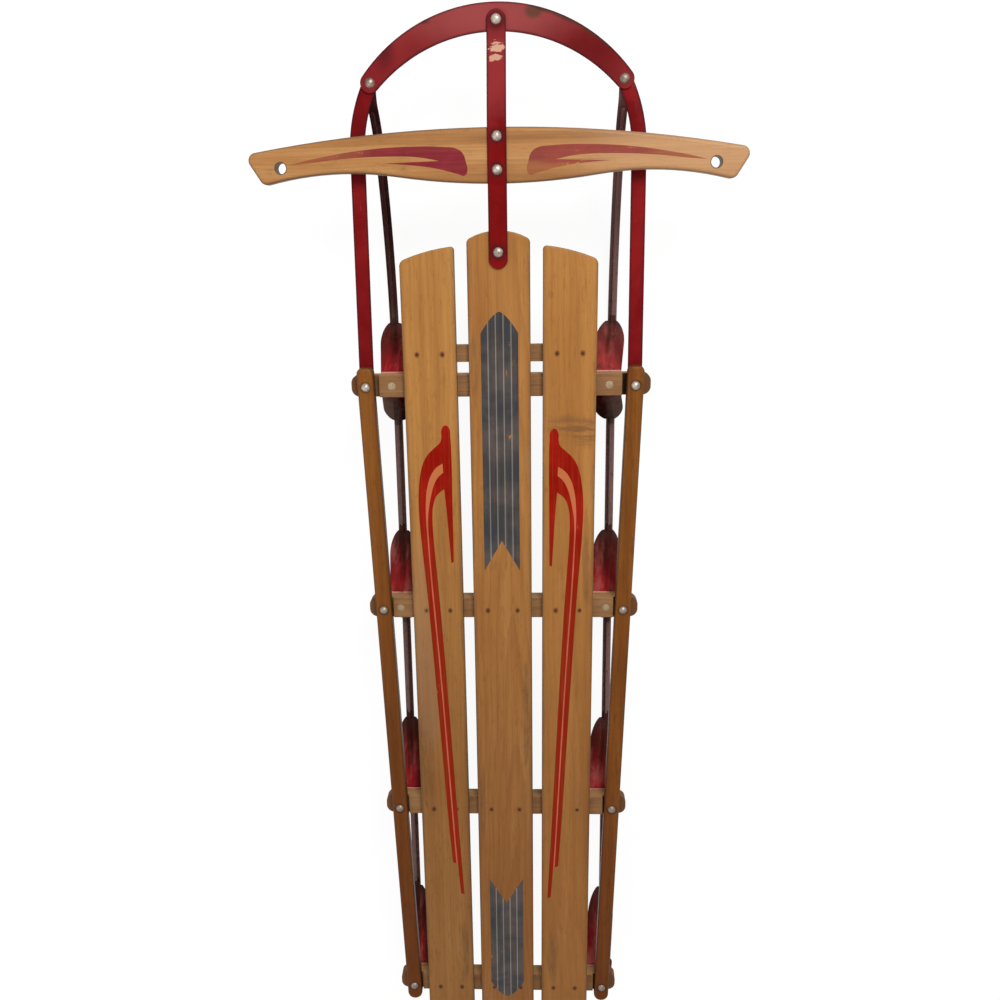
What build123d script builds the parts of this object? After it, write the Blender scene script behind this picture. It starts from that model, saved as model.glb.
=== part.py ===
from build123d import *
import math
import os

# A steerable wooden sled on steel runners, in millimetres.
# +Y is forward, +X is to the rider's right, +Z is up. The origin is on the ground under the sled's middle.

# Layout along the sled, measured from the front bench
BENCH_COUNT = 4
BENCH_PITCH = 320.0
FRONT_REACH = 476.0  # front bench to the front edge of the bumper
REAR_REACH = 132.0  # rear bench to the tails of the runners
PIVOT_AHEAD = 174.7  # front bench to the steering pivot
HANDLE_AHEAD = 293.7  # front bench to the middle of the steering handle
CLEAT_AHEAD = 43.5  # front bench to the narrow cleat in front of it
CENTRE_NOSE_AHEAD = 202.0
SIDE_NOSE_AHEAD = 183.0
SLAT_TAIL_BEHIND = 57.0  # rear bench to the ends of the slats

# Clearances
PLAY = 0.25  # between flat faces that slide on each other
RIVET_FIT = 0.12  # around a rivet shank that clamps its pieces
PIVOT_FIT = 0.06  # around the shank that the steering strap turns on

# Steel runners: an upside-down T, a flange on the snow and a stem above it
RUNNER_X = 161.3
FLANGE_W = 12.7
FLANGE_T = 3.0
STEM_W = 3.2
STEM_H = 11.0
TAIL_RISE = 14.0
TAIL_LENGTH = 42.0
TAIL_BEND_R = 70.0
NOSE_START_AHEAD = 14.0  # front bench to the start of the upward curve
NOSE_TAB_BACK = 20.0  # end rivet back to the corner of the flat tab
NOSE_CURVE_SHARE = 0.42  # of the nose's run, to the corner of its long curve
NOSE_STEEP_SHARE = 0.915  # of the run, to the corner where it gets steeper
NOSE_STEEP_RISE_SHARE = 0.687  # of the rise, at that corner
NOSE_STEEP_BEND_SHARE = 0.7  # of the steep stretch, taken up by the bend into it
NOSE_TAB_BEND_SHARE = 0.25  # of the steep stretch, taken up by the bend into the tab
NOSE_TAB_FRONT = 11.0  # end rivet forward to the tip of the tab
STEM_CUT_BACK = 34.0  # end rivet back to where the stem stops

# Pressed-steel knees
KNEE_RISE = 123.0  # stem to the underside of the bench
KNEE_X = 143.5
KNEE_FOOT_IN = 2.0  # runner in to the middle of a leg at its foot
KNEE_W = 42.0
KNEE_BULGE = 7.0
KNEE_SHEET = 2.0
CREASE_W = 12.0  # pressed down the middle of each leg
CREASE_DEPTH = 3.0
KNEE_TOP_HALF = 22.0  # bench to the crest of a leg at the top
KNEE_REACH = 80.0  # bench to the end of a foot
KNEE_TIP_BACK = 7.0  # end of a foot back to the tip of its leg
KNEE_TAPER = 54.0  # length over which a leg narrows to its tip
KNEE_TIP_OVER = 6.0  # how far the rounded tip would pass the foot
SADDLE_L = 30.0
SADDLE_FIT = 0.2
SADDLE_LIFT = 1.0  # flange to the lower edge of the saddle
SADDLE_ROUND = 1.2

# Wooden frame
BENCH_T = 22.0
BENCH_W = 30.0
BENCH_OVERHANG = 22.0  # rail centre line to the end of a bench
BENCH_END_R = 11.5
BENCH_ROUND = 2.0
NOTCH_DEPTH = 5.0
NOTCH_ROOM = 2.0  # beside a rail
FRONT_NOTCH_ROOM = 6.0  # beside a rail at the front bench
RAIL_W = 22.5
RAIL_T = 15.0
RAIL_ROUND = 4.0
RAIL_FRONT_X = 181.2
RAIL_REAR_X = 148.9
RAIL_NOSE = 26.0
RAIL_NOSE_R = 8.0
RAIL_TAIL = 25.0
RAIL_END_FLAT = 0.25  # left beside a rounded corner, at least
CLEAT_W = 22.7
CLEAT_T = 12.0
CLEAT_HALF_L = 110.0
CLEAT_END_R = 4.0

# Deck slats
SLAT_T = 11.0
SLAT_ROUND = 2.0
CENTRE_SLAT_W = 82.5
CENTRE_NOSE_DROP = 11.5
CENTRE_NOSE_R = 8.0
SIDE_SLAT_W = 71.8
SIDE_NOSE_DROP = 18.5
SIDE_NOSE_BOW = 3.0
SIDE_INNER_R = 5.0
SIDE_OUTER_R = 10.0
SLAT_TAIL_R = 5.0
GAP_AT_FRONT_BENCH = 15.9
GAP_AT_REAR_BENCH = 12.4

# Side strips and bumper
STRIP_W = 19.2
STRIP_T = 3.0
STRIP_TAIL = 26.0  # front bench back to the end of a strip
STRIP_BEND_R = 183.0
STRIP_BEND_ROOM = 24.0  # end rivet back to where a strip levels out
STRIP_FOLD_R = 60.0
BUMPER_T = 3.0
STEEL_ROUND = 0.8  # worn upper edges of the bumper and the strap
BUMPER_DROP = 26.0  # deck down to the top of the bumper
BUMPER_DEPTH = 91.4  # front edge back to the end rivets
BUMPER_MID_W = 34.0
BUMPER_END_R = 12.3
PIN_SETBACK = 20.4  # front edge back to the steering pin

# Steering handle and strap
HANDLE_SPAN = 648.0
HANDLE_T = 19.0
HANDLE_ROUND = 5.0
HANDLE_MID_W = 68.0
HANDLE_TIP_W = 38.5
HANDLE_SWEEP = 29.0  # how far the front edge falls back at the tips
HANDLE_BELLY_HALF = 129.0
HANDLE_BELLY_RISE = 9.7
HANDLE_TIP_SLANT = 24.0
HANDLE_TIP_R = 10.0
ROPE_HOLE_R = 7.0
ROPE_HOLE_INSET = 48.0
ROPE_HOLE_BACK = 12.0  # handle's middle back to the holes
STRAP_W = 24.4
STRAP_T = 3.0
STRAP_END = 21.0  # pivot back to the strap's rounded end
STRAP_TIP = 12.0  # steering pin forward to the strap's other end
STRAP_BEND_R = 30.0
STRAP_BEND_ROOM = 12.0
STEER_ANGLE = 8.0  # each way, in degrees

# Rivets: head radius, head height and shank radius
RIVET_HEAD_R = 6.4
RIVET_HEAD_H = 3.4
RIVET_SHANK_R = 2.4
PIVOT_SHANK_R = 3.0
RAIL_HEAD_R = 5.9
SMALL_HEAD_R = 5.2
SMALL_HEAD_H = 1.6
RIVET_TAIL_H = 1.6
RIVET_TAIL_SPREAD = 1.7
HANDLE_RIVET_SPACING = 40.3
HANDLE_RIVET_AHEAD = 2.6  # of the handle's middle
KNEE_RIVET_X = 147.0
KNEE_RIVET_BENCHES = 2  # further back the rail rivet also holds the knee

# Worked-out places
LENGTH = FRONT_REACH + (BENCH_COUNT - 1) * BENCH_PITCH + REAR_REACH
FRONT_Y = LENGTH / 2
FRONT_BENCH_Y = FRONT_Y - FRONT_REACH
BENCH_YS = [FRONT_BENCH_Y - i * BENCH_PITCH for i in range(BENCH_COUNT)]
REAR_BENCH_Y = BENCH_YS[-1]
PIVOT_Y = FRONT_BENCH_Y + PIVOT_AHEAD
HANDLE_Y = FRONT_BENCH_Y + HANDLE_AHEAD
PIN_Y = FRONT_Y - PIN_SETBACK
END_RIVET_Y = FRONT_Y - BUMPER_DEPTH
SLAT_TAIL_Y = REAR_BENCH_Y - SLAT_TAIL_BEHIND
STEM_TOP = FLANGE_T + STEM_H
BENCH_BOTTOM = STEM_TOP + KNEE_RISE
BENCH_TOP = BENCH_BOTTOM + BENCH_T
NOTCH_Z = BENCH_TOP - NOTCH_DEPTH
RAIL_TOP = NOTCH_Z + RAIL_T
DECK_TOP = BENCH_TOP + SLAT_T
BUMPER_TOP = DECK_TOP - BUMPER_DROP
BUMPER_Z = BUMPER_TOP - BUMPER_T
STRIP_REAR_Z = NOTCH_Z - STRIP_T  # underside, in the front bench's notch
STRIP_FRONT_Z = BUMPER_Z - PLAY - STRIP_T  # underside, below the bumper
TAB_Z = STRIP_FRONT_Z - FLANGE_T  # underside of a runner's flat tab
STRAP_Z = DECK_TOP + PLAY
HANDLE_TOP = STRAP_Z
HANDLE_Z = HANDLE_TOP - HANDLE_T
KNEE_FLOOR = BENCH_BOTTOM - KNEE_SHEET
SIDES = {"left": -1, "right": 1}


def rail_x(y):
    share = (FRONT_BENCH_Y - y) / (FRONT_BENCH_Y - REAR_BENCH_Y)
    return RAIL_FRONT_X + share * (RAIL_REAR_X - RAIL_FRONT_X)


def offset_path(points, radii, distance):
    """A polyline in the YZ plane with rounded corners, moved to its left by a distance."""
    runs = [Vector(*b) - Vector(*a) for a, b in zip(points, points[1:])]
    lefts = [Vector(-run.Y, run.X).normalized() for run in runs]
    moved = [Vector(*points[0]) + lefts[0] * distance]
    rounded = []
    for corner, radius, before, after in zip(points[1:-1], radii, lefts, lefts[1:]):
        mitre = (before + after) * (1 / (1 + before.dot(after)))
        moved.append(Vector(*corner) + mitre * distance)
        turns_left = before.X * after.Y - before.Y * after.X > 0
        rounded.append(radius - distance if turns_left else radius + distance)
    moved.append(Vector(*points[-1]) + lefts[-1] * distance)
    return FilletPolyline(*[(p.X, p.Y) for p in moved], radius=rounded)


def bent_bar(points, radii, low, high, half_width, x=0.0):
    """A bar that follows a path in the YZ plane, between two offsets of that path."""
    under = offset_path(points, radii, low)
    over = offset_path(points, radii, high)
    ends = [Line(under @ 0, over @ 0), Line(under @ 1, over @ 1)]
    profile = make_face(under.edges() + over.edges() + ends)
    return Pos(x, 0, 0) * extrude(Plane.YZ * profile, half_width, both=True)


def block(x_range, y_range, z_range):
    size = [high - low for low, high in (x_range, y_range, z_range)]
    low_corner = Pos(x_range[0], y_range[0], z_range[0])
    return low_corner * Box(*size, align=(Align.MIN, Align.MIN, Align.MIN))


def bore(x, y, z_low, z_high, radius):
    height = z_high - z_low
    return Pos(x, y, z_low) * Cylinder(radius, height, align=(Align.CENTER, Align.CENTER, Align.MIN))


def rivet(x, y, seat_z, far_z, shank_r=RIVET_SHANK_R, head_r=RIVET_HEAD_R, head_h=RIVET_HEAD_H):
    """A round-headed rivet: domed head above its seat, shank, and a flat tail below."""
    crown_r = (head_r**2 + head_h**2) / (2 * head_h)
    half_angle = math.asin(head_r / crown_r) / 2
    crown = (crown_r * math.sin(half_angle), seat_z + head_h - crown_r * (1 - math.cos(half_angle)))
    tail_r = shank_r * RIVET_TAIL_SPREAD
    outline = Polyline(
        (0, seat_z + head_h),
        (0, far_z - RIVET_TAIL_H),
        (tail_r, far_z - RIVET_TAIL_H),
        (tail_r, far_z),
        (shank_r, far_z),
        (shank_r, seat_z),
        (head_r, seat_z),
    )
    dome = ThreePointArc((head_r, seat_z), crown, (0, seat_z + head_h))
    return Pos(x, y, 0) * revolve(Plane.XZ * make_face(outline.edges() + dome.edges()), Axis.Z)


def rounded_top(solid, radius):
    """Rounds the edges between the faces that look up and the sides."""
    edges = [edge for face in solid.faces() if face.normal_at().Z > 0.05 for edge in face.edges()]
    rim = [edge for edge in edges if sum(edge.is_same(other) for other in edges) == 1]
    return fillet(rim, radius)


# Runners


def nose_corners():
    """Corners of the upward nose: where its long curve turns, where it gets steeper, and the tab's."""
    start_y = FRONT_BENCH_Y + NOSE_START_AHEAD
    run = END_RIVET_Y - NOSE_TAB_BACK - start_y
    curve = Vector(start_y + NOSE_CURVE_SHARE * run, 0)
    steep = Vector(start_y + NOSE_STEEP_SHARE * run, NOSE_STEEP_RISE_SHARE * TAB_Z)
    return curve, steep, Vector(start_y + run, TAB_Z)


def bend_radius(before, corner, after, reach):
    """Radius of a bend that starts and ends at a distance from its corner."""
    turn = math.radians((corner - before).get_angle(after - corner))
    return reach / math.tan(turn / 2)


def runner_path():
    """The underside from tail to tip: upturned tail, flat sole, curved nose and a flat tab."""
    tail_y = -FRONT_Y
    curve, steep, tab = nose_corners()
    sole = Vector(FRONT_BENCH_Y + NOSE_START_AHEAD, 0)
    tip = Vector(END_RIVET_Y + NOSE_TAB_FRONT, TAB_Z)
    steep_run = (tab - steep).length
    points = [Vector(tail_y, TAIL_RISE), Vector(tail_y + TAIL_LENGTH, 0), curve, steep, tab, tip]
    radii = [
        TAIL_BEND_R,
        bend_radius(sole, curve, steep, (curve - sole).length),
        bend_radius(curve, steep, tab, NOSE_STEEP_BEND_SHARE * steep_run),
        bend_radius(steep, tab, tip, NOSE_TAB_BEND_SHARE * steep_run),
    ]
    return [(p.X, p.Y) for p in points], radii


def runner_rise(ahead):
    """How far the underside has risen at a distance ahead of the front bench, on the nose's long curve."""
    radius = runner_path()[1][1]
    run = max(ahead - NOSE_START_AHEAD, 0)
    return radius - math.sqrt(radius**2 - run**2)


def runner(side):
    points, radii = runner_path()
    x = side * RUNNER_X
    flange = bent_bar(points, radii, 0, FLANGE_T, FLANGE_W / 2, x)
    stem = bent_bar(points, radii, FLANGE_T, STEM_TOP, STEM_W / 2, x)
    stem -= block(
        (x - FLANGE_W, x + FLANGE_W),
        (END_RIVET_Y - STEM_CUT_BACK, FRONT_Y),
        (0, DECK_TOP),
    )
    hole = bore(x, END_RIVET_Y, 0, DECK_TOP, RIVET_SHANK_R + RIVET_FIT)
    return flange + stem - hole


# Knees


def knee_leg_plane(lift):
    """The crest of the front leg: its origin is at the top, and it runs down to the foot."""
    top = Vector(KNEE_X, KNEE_TOP_HALF, BENCH_BOTTOM)
    foot_z = lift + STEM_TOP + SADDLE_FIT + KNEE_SHEET
    foot = Vector(RUNNER_X - KNEE_FOOT_IN, KNEE_REACH - KNEE_TIP_BACK, foot_z)
    down = foot - top
    across = Vector(1, 0, 0) - down * (down.X / down.dot(down))
    return Plane(origin=top, x_dir=across, z_dir=down), down.length


def leg_section(inset):
    """An arc with its crest at the origin and its edges further in, and a crease pressed down its middle."""
    half, crease = KNEE_W / 2, CREASE_W / 2
    radius = (half**2 + KNEE_BULGE**2) / (2 * KNEE_BULGE)

    def point(x):
        return (x, radius - math.sqrt((radius - inset) ** 2 - x**2))

    middle = (half + crease) / 2
    left = ThreePointArc(point(-half), point(-middle), point(-crease))
    valley = ThreePointArc(point(-crease), (0, inset + CREASE_DEPTH), point(crease))
    right = ThreePointArc(point(crease), point(middle), point(half))
    return Wire([left, valley, right])


def knee_half(lift):
    """The front leg, its foot and the front half of the top plate, with the bench at y = 0."""
    plane, length = knee_leg_plane(lift)
    saddle_top = lift + STEM_TOP + SADDLE_FIT
    over = KNEE_REACH
    outer, inner = leg_section(0), leg_section(KNEE_SHEET)
    ends = [Line(outer @ 0, inner @ 0), Line(outer @ 1, inner @ 1)]
    sheet = make_face(outer.edges() + inner.edges() + ends)
    deep = 2 * KNEE_REACH
    corners = Polyline(outer @ 1, (KNEE_W / 2, deep), (-KNEE_W / 2, deep), outer @ 0)
    filled = make_face(outer.edges() + corners.edges())
    leg = plane * Pos(0, 0, -over) * extrude(sheet, length + 2 * over)
    behind_leg = plane * Pos(0, 0, -over) * extrude(filled, length + 2 * over)
    shoulder = length + KNEE_TIP_OVER - KNEE_TAPER
    sides = Pos(0, (shoulder - over) / 2) * Rectangle(KNEE_W, shoulder + over)
    outline = sides + Pos(0, shoulder) * Ellipse(KNEE_W / 2, KNEE_TAPER)
    cutter = extrude(Plane(plane.origin, plane.x_dir, -plane.y_dir) * outline, over, both=True)
    room = block((0, 2 * RUNNER_X), (0, 2 * over), (saddle_top, BENCH_BOTTOM))
    plate_room = block((0, 2 * RUNNER_X), (0, 2 * over), (KNEE_FLOOR, BENCH_BOTTOM))
    saddle_half = STEM_W / 2 + SADDLE_FIT
    saddle_y = (KNEE_REACH - SADDLE_L, KNEE_REACH)
    saddle = block(
        (RUNNER_X - saddle_half - KNEE_SHEET, RUNNER_X + saddle_half + KNEE_SHEET),
        saddle_y,
        (lift + FLANGE_T + SADDLE_LIFT, saddle_top + KNEE_SHEET),
    )
    saddle = fillet(saddle.edges().filter_by(Axis.Y).group_by(Axis.Z)[-1], SADDLE_ROUND)
    saddle -= block((RUNNER_X - saddle_half, RUNNER_X + saddle_half), saddle_y, (0, saddle_top))
    return (leg & cutter & room) + (behind_leg & plate_room) + saddle


def knee(side, bench):
    level = knee_half(0)
    front = knee_half(runner_rise(KNEE_REACH)) if bench == 0 else level
    whole = front + mirror(level, about=Plane.XZ)
    rivet_x = KNEE_RIVET_X if bench < KNEE_RIVET_BENCHES else rail_x(BENCH_YS[bench])
    whole -= bore(rivet_x, 0, 0, DECK_TOP, RIVET_SHANK_R + RIVET_FIT)
    if side < 0:
        whole = mirror(whole, about=Plane.YZ)
    return Pos(0, BENCH_YS[bench], 0) * whole


# Wooden frame


def bench(index):
    y = BENCH_YS[index]
    centre_x = rail_x(y)
    half = centre_x + BENCH_OVERHANG
    room, floor_z = (FRONT_NOTCH_ROOM, STRIP_REAR_Z) if index == 0 else (NOTCH_ROOM, NOTCH_Z)
    shoulder = centre_x - RAIL_W / 2 - room
    plan = RectangleRounded(2 * half, BENCH_W, BENCH_END_R)
    bar = Pos(0, y, BENCH_BOTTOM) * extrude(plan, BENCH_T)
    bar = rounded_top(bar, BENCH_ROUND)
    for side in SIDES.values():
        ends = sorted([side * shoulder, side * 2 * half])
        bar -= block(ends, (y - BENCH_W, y + BENCH_W), (floor_z, DECK_TOP))
        bar -= bore(side * centre_x, y, 0, DECK_TOP, RIVET_SHANK_R + RIVET_FIT)
        if index < KNEE_RIVET_BENCHES:
            bar -= bore(side * KNEE_RIVET_X, y, 0, DECK_TOP, RIVET_SHANK_R + RIVET_FIT)
    return bar


def front_cleat():
    plan = RectangleRounded(2 * CLEAT_HALF_L, CLEAT_W, CLEAT_END_R)
    return Pos(0, FRONT_BENCH_Y + CLEAT_AHEAD, BENCH_TOP - CLEAT_T) * extrude(plan, CLEAT_T)


def rail(side):
    """A straight rail whose centre line passes over its rivets."""
    run = Vector(RAIL_REAR_X - RAIL_FRONT_X, REAR_BENCH_Y - FRONT_BENCH_Y)
    length = run.length + RAIL_NOSE + RAIL_TAIL
    along = Plane(origin=(RAIL_FRONT_X, FRONT_BENCH_Y, NOTCH_Z), x_dir=(run.X, run.Y, 0), z_dir=(0, 0, 1))
    plan = Pos(length / 2 - RAIL_NOSE, 0) * Rectangle(length, RAIL_W)
    round_end = RAIL_W / 2 - RAIL_END_FLAT
    plan = fillet(plan.vertices().group_by(Axis.X)[0], min(RAIL_NOSE_R, round_end))
    plan = fillet(plan.vertices().group_by(Axis.X)[-1], round_end)
    bar = rounded_top(extrude(plan, RAIL_T), RAIL_ROUND)
    bar = along * bar
    for y in BENCH_YS:
        bar -= bore(rail_x(y), y, 0, DECK_TOP, RIVET_SHANK_R + RIVET_FIT)
    return bar if side > 0 else mirror(bar, about=Plane.YZ)


# Deck slats


def centre_slat():
    half = CENTRE_SLAT_W / 2
    nose_y = FRONT_BENCH_Y + CENTRE_NOSE_AHEAD
    shoulder_y = nose_y - CENTRE_NOSE_DROP
    nose = ThreePointArc((-half, shoulder_y), (0, nose_y), (half, shoulder_y))
    sides = Polyline((half, shoulder_y), (half, SLAT_TAIL_Y), (-half, SLAT_TAIL_Y), (-half, shoulder_y))
    plan = make_face(nose.edges() + sides.edges())
    plan = fillet(plan.vertices().sort_by(Axis.Y)[-2:], CENTRE_NOSE_R)
    plan = fillet(plan.vertices().sort_by(Axis.Y)[:2], SLAT_TAIL_R)
    slat = Pos(0, 0, BENCH_TOP) * extrude(plan, SLAT_T)
    slat = rounded_top(slat, SLAT_ROUND)
    return slat - bore(0, PIVOT_Y, 0, 2 * DECK_TOP, PIVOT_SHANK_R + RIVET_FIT)


def side_slat(side):
    """Both long edges toe in towards the rear by the change in the gap beside the centre slat."""
    inner_front = CENTRE_SLAT_W / 2 + GAP_AT_FRONT_BENCH
    toe = (GAP_AT_FRONT_BENCH - GAP_AT_REAR_BENCH) / (FRONT_BENCH_Y - REAR_BENCH_Y)
    nose_y = FRONT_BENCH_Y + SIDE_NOSE_AHEAD
    outer_nose_y = nose_y - SIDE_NOSE_DROP

    def edge(y, outwards):
        return (inner_front + outwards + toe * (y - FRONT_BENCH_Y), y)

    inner_nose, outer_nose = edge(nose_y, 0), edge(outer_nose_y, SIDE_SLAT_W)
    middle = ((inner_nose[0] + outer_nose[0]) / 2, (nose_y + outer_nose_y) / 2 + SIDE_NOSE_BOW)
    nose = ThreePointArc(inner_nose, middle, outer_nose)
    sides = Polyline(outer_nose, edge(SLAT_TAIL_Y, SIDE_SLAT_W), edge(SLAT_TAIL_Y, 0), inner_nose)
    plan = make_face(nose.edges() + sides.edges())
    front = plan.vertices().sort_by(Axis.Y)[-2:].sort_by(Axis.X)
    plan = fillet(front[0], SIDE_INNER_R)
    plan = fillet(plan.vertices().sort_by_distance(outer_nose)[0], SIDE_OUTER_R)
    plan = fillet(plan.vertices().sort_by(Axis.Y)[:2], SLAT_TAIL_R)
    slat = Pos(0, 0, BENCH_TOP) * extrude(plan, SLAT_T)
    slat = rounded_top(slat, SLAT_ROUND)
    return slat if side > 0 else mirror(slat, about=Plane.YZ)


# Side strips and bumper


def side_strip(side):
    """A flat strip from under the rail, sloping down ahead, then bent edgewise in to the end rivet."""
    turn = math.acos(1 - (RAIL_FRONT_X - RUNNER_X) / STRIP_BEND_R)
    bend_y = END_RIVET_Y - STRIP_BEND_R * math.sin(turn)
    centre = (RAIL_FRONT_X - STRIP_BEND_R, bend_y)
    half_turn = (centre[0] + STRIP_BEND_R * math.cos(turn / 2), centre[1] + STRIP_BEND_R * math.sin(turn / 2))
    bend = ThreePointArc((RAIL_FRONT_X, bend_y), half_turn, (RUNNER_X, END_RIVET_Y))
    tail_y = FRONT_BENCH_Y - STRIP_TAIL
    straight = Pos(RAIL_FRONT_X, (tail_y + bend_y) / 2) * Rectangle(STRIP_W, bend_y - tail_y)
    plan = straight + SlotArc(bend, STRIP_W)
    nose_y = FRONT_BENCH_Y + RAIL_NOSE
    level_y = END_RIVET_Y - STRIP_BEND_ROOM
    points = [
        (tail_y, STRIP_REAR_Z),
        (nose_y, STRIP_REAR_Z),
        (level_y, STRIP_FRONT_Z),
        (END_RIVET_Y + STRIP_W, STRIP_FRONT_Z),
    ]
    sheet = bent_bar(points, [STRIP_FOLD_R] * 2, 0, STRIP_T, 2 * STRIP_W, RAIL_FRONT_X)
    strip = sheet & extrude(plan, DECK_TOP)
    strip -= bore(RUNNER_X, END_RIVET_Y, 0, DECK_TOP, RIVET_SHANK_R + RIVET_FIT)
    strip -= bore(RAIL_FRONT_X, FRONT_BENCH_Y, 0, DECK_TOP, RIVET_SHANK_R + RIVET_FIT)
    return strip if side > 0 else mirror(strip, about=Plane.YZ)


def bumper():
    """A crescent of flat steel: two arcs, wider in the middle, that run tangent into round ends."""
    end = Vector(RUNNER_X, END_RIVET_Y)
    rise = BUMPER_DEPTH
    inner_rise = BUMPER_DEPTH - BUMPER_MID_W
    end_square = RUNNER_X**2 - BUMPER_END_R**2
    outer_r = (end_square + rise**2) / (2 * (rise - BUMPER_END_R))
    inner_r = (end_square + inner_rise**2) / (2 * (inner_rise + BUMPER_END_R))
    outer_centre = Vector(0, FRONT_Y - outer_r)
    inner_centre = Vector(0, FRONT_Y - BUMPER_MID_W - inner_r)
    outer_end = outer_centre + (end - outer_centre).normalized() * outer_r
    inner_end = inner_centre + (end - inner_centre).normalized() * inner_r
    across = (outer_end - inner_end).normalized()
    tip = end + Vector(across.Y, -across.X) * BUMPER_END_R

    def flipped(point):
        return (-point.X, point.Y)

    plan = make_face(
        [
            ThreePointArc(flipped(outer_end), (0, FRONT_Y), outer_end),
            ThreePointArc(outer_end, tip, inner_end),
            ThreePointArc(inner_end, (0, FRONT_Y - BUMPER_MID_W), flipped(inner_end)),
            ThreePointArc(flipped(inner_end), flipped(tip), flipped(outer_end)),
        ]
    )
    plate = Pos(0, 0, BUMPER_Z) * extrude(plan, BUMPER_T)
    plate = rounded_top(plate, STEEL_ROUND)
    for side in SIDES.values():
        plate -= bore(side * RUNNER_X, END_RIVET_Y, 0, DECK_TOP, RIVET_SHANK_R + RIVET_FIT)
    return plate - bore(0, PIN_Y, 0, DECK_TOP, RIVET_SHANK_R + RIVET_FIT)


# Steering


def handle():
    """A flat bow: one long arc in front, a belly and two waists behind, and slanted round tips."""
    tip_x = HANDLE_SPAN / 2
    front_y = HANDLE_Y + HANDLE_MID_W / 2
    belly_y = HANDLE_Y - HANDLE_MID_W / 2
    tip_front_y = front_y - HANDLE_SWEEP
    tip_rear = (tip_x - HANDLE_TIP_SLANT, tip_front_y - HANDLE_TIP_W)
    waist_start = (HANDLE_BELLY_HALF, belly_y + HANDLE_BELLY_RISE)
    front = ThreePointArc((-tip_x, tip_front_y), (0, front_y), (tip_x, tip_front_y))
    belly = ThreePointArc((-waist_start[0], waist_start[1]), (0, belly_y), waist_start)
    right = TangentArc(waist_start, tip_rear, tangent=belly % 1)
    left = mirror(right, about=Plane.YZ)
    tips = [Line(front @ 1, right @ 1), Line(front @ 0, (-tip_rear[0], tip_rear[1]))]
    plan = make_face(front.edges() + belly.edges() + right.edges() + left.edges() + tips)
    corners = plan.vertices().filter_by(lambda v: abs(v.X) > HANDLE_BELLY_HALF + HANDLE_TIP_R)
    plan = fillet(corners, HANDLE_TIP_R)
    bar = Pos(0, 0, HANDLE_Z) * extrude(plan, HANDLE_T)
    flats = bar.faces().filter_by(Plane.XY)
    bar = fillet([edge for face in flats for edge in face.outer_wire().edges()], HANDLE_ROUND)
    for side in SIDES.values():
        hole_x = side * (tip_x - ROPE_HOLE_INSET)
        bar -= bore(hole_x, HANDLE_Y - ROPE_HOLE_BACK, 0, 2 * DECK_TOP, ROPE_HOLE_R)
    for y in handle_rivet_ys():
        bar -= bore(0, y, 0, 2 * DECK_TOP, RIVET_SHANK_R + RIVET_FIT)
    return bar


def handle_rivet_ys():
    middle = HANDLE_Y + HANDLE_RIVET_AHEAD
    return [middle + step * HANDLE_RIVET_SPACING / 2 for step in (-1, 1)]


def steering_strap():
    """Flat steel, level over the deck and the handle, then cranked down to the bumper, with round ends."""
    bumper_z = BUMPER_TOP + PLAY
    fold_y = HANDLE_Y + HANDLE_MID_W / 2 + STRAP_BEND_ROOM
    bumper_inner_y = FRONT_Y - BUMPER_MID_W
    rear_y, front_y = PIVOT_Y - STRAP_END, PIN_Y + STRAP_TIP
    points = [
        (rear_y, STRAP_Z),
        (fold_y, STRAP_Z),
        (bumper_inner_y - STRAP_BEND_ROOM, bumper_z),
        (front_y, bumper_z),
    ]
    rear, fold, level = [Vector(*point) for point in points[:3]]
    room_r = bend_radius(rear, fold, level, (level - fold).length / 2) - STRAP_T  # two bends share the slope
    bar = bent_bar(points, [min(STRAP_BEND_R, room_r)] * 2, 0, STRAP_T, STRAP_W / 2)
    length = front_y - rear_y
    plan = Pos(0, (front_y + rear_y) / 2) * Rot(0, 0, 90) * SlotOverall(length, STRAP_W)
    bar &= extrude(plan, 2 * HANDLE_TOP)
    bar = rounded_top(bar, STEEL_ROUND)
    bar -= bore(0, PIVOT_Y, 0, 2 * DECK_TOP, PIVOT_SHANK_R + PIVOT_FIT)
    for y in handle_rivet_ys():
        bar -= bore(0, y, 0, 2 * DECK_TOP, RIVET_SHANK_R + RIVET_FIT)
    return bar - pin_slot()


def pin_slot():
    """The bumper moves straight across while the strap turns, so the pin slides outwards in a short slot."""
    reach = PIN_Y - PIVOT_Y
    swing = math.radians(STEER_ANGLE)
    travel = reach * swing**2 / 2 + PLAY
    sideways = reach * swing**3 / 3
    half_width = RIVET_SHANK_R + sideways + PLAY
    slot = Pos(0, PIN_Y + travel / 2) * Rot(0, 0, 90) * SlotCenterToCenter(travel, 2 * half_width)
    return extrude(slot, 2 * DECK_TOP)


# Rivets


def rail_rivets():
    made = []
    for index, y in enumerate(BENCH_YS):
        far_z = BENCH_BOTTOM if index < KNEE_RIVET_BENCHES else KNEE_FLOOR
        for side in SIDES.values():
            made.append(rivet(side * rail_x(y), y, RAIL_TOP, far_z, head_r=RAIL_HEAD_R))
    return Compound(made)


def knee_rivets():
    made = []
    for y in BENCH_YS[:KNEE_RIVET_BENCHES]:
        for side in SIDES.values():
            x = side * KNEE_RIVET_X
            made.append(rivet(x, y, BENCH_TOP, KNEE_FLOOR, head_r=SMALL_HEAD_R, head_h=SMALL_HEAD_H))
    return Compound(made)


def bumper_end_rivets():
    return Compound([rivet(side * RUNNER_X, END_RIVET_Y, BUMPER_TOP, TAB_Z) for side in SIDES.values()])


def handle_rivets():
    return Compound([rivet(0, y, HANDLE_TOP + STRAP_T, HANDLE_Z) for y in handle_rivet_ys()])


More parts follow.
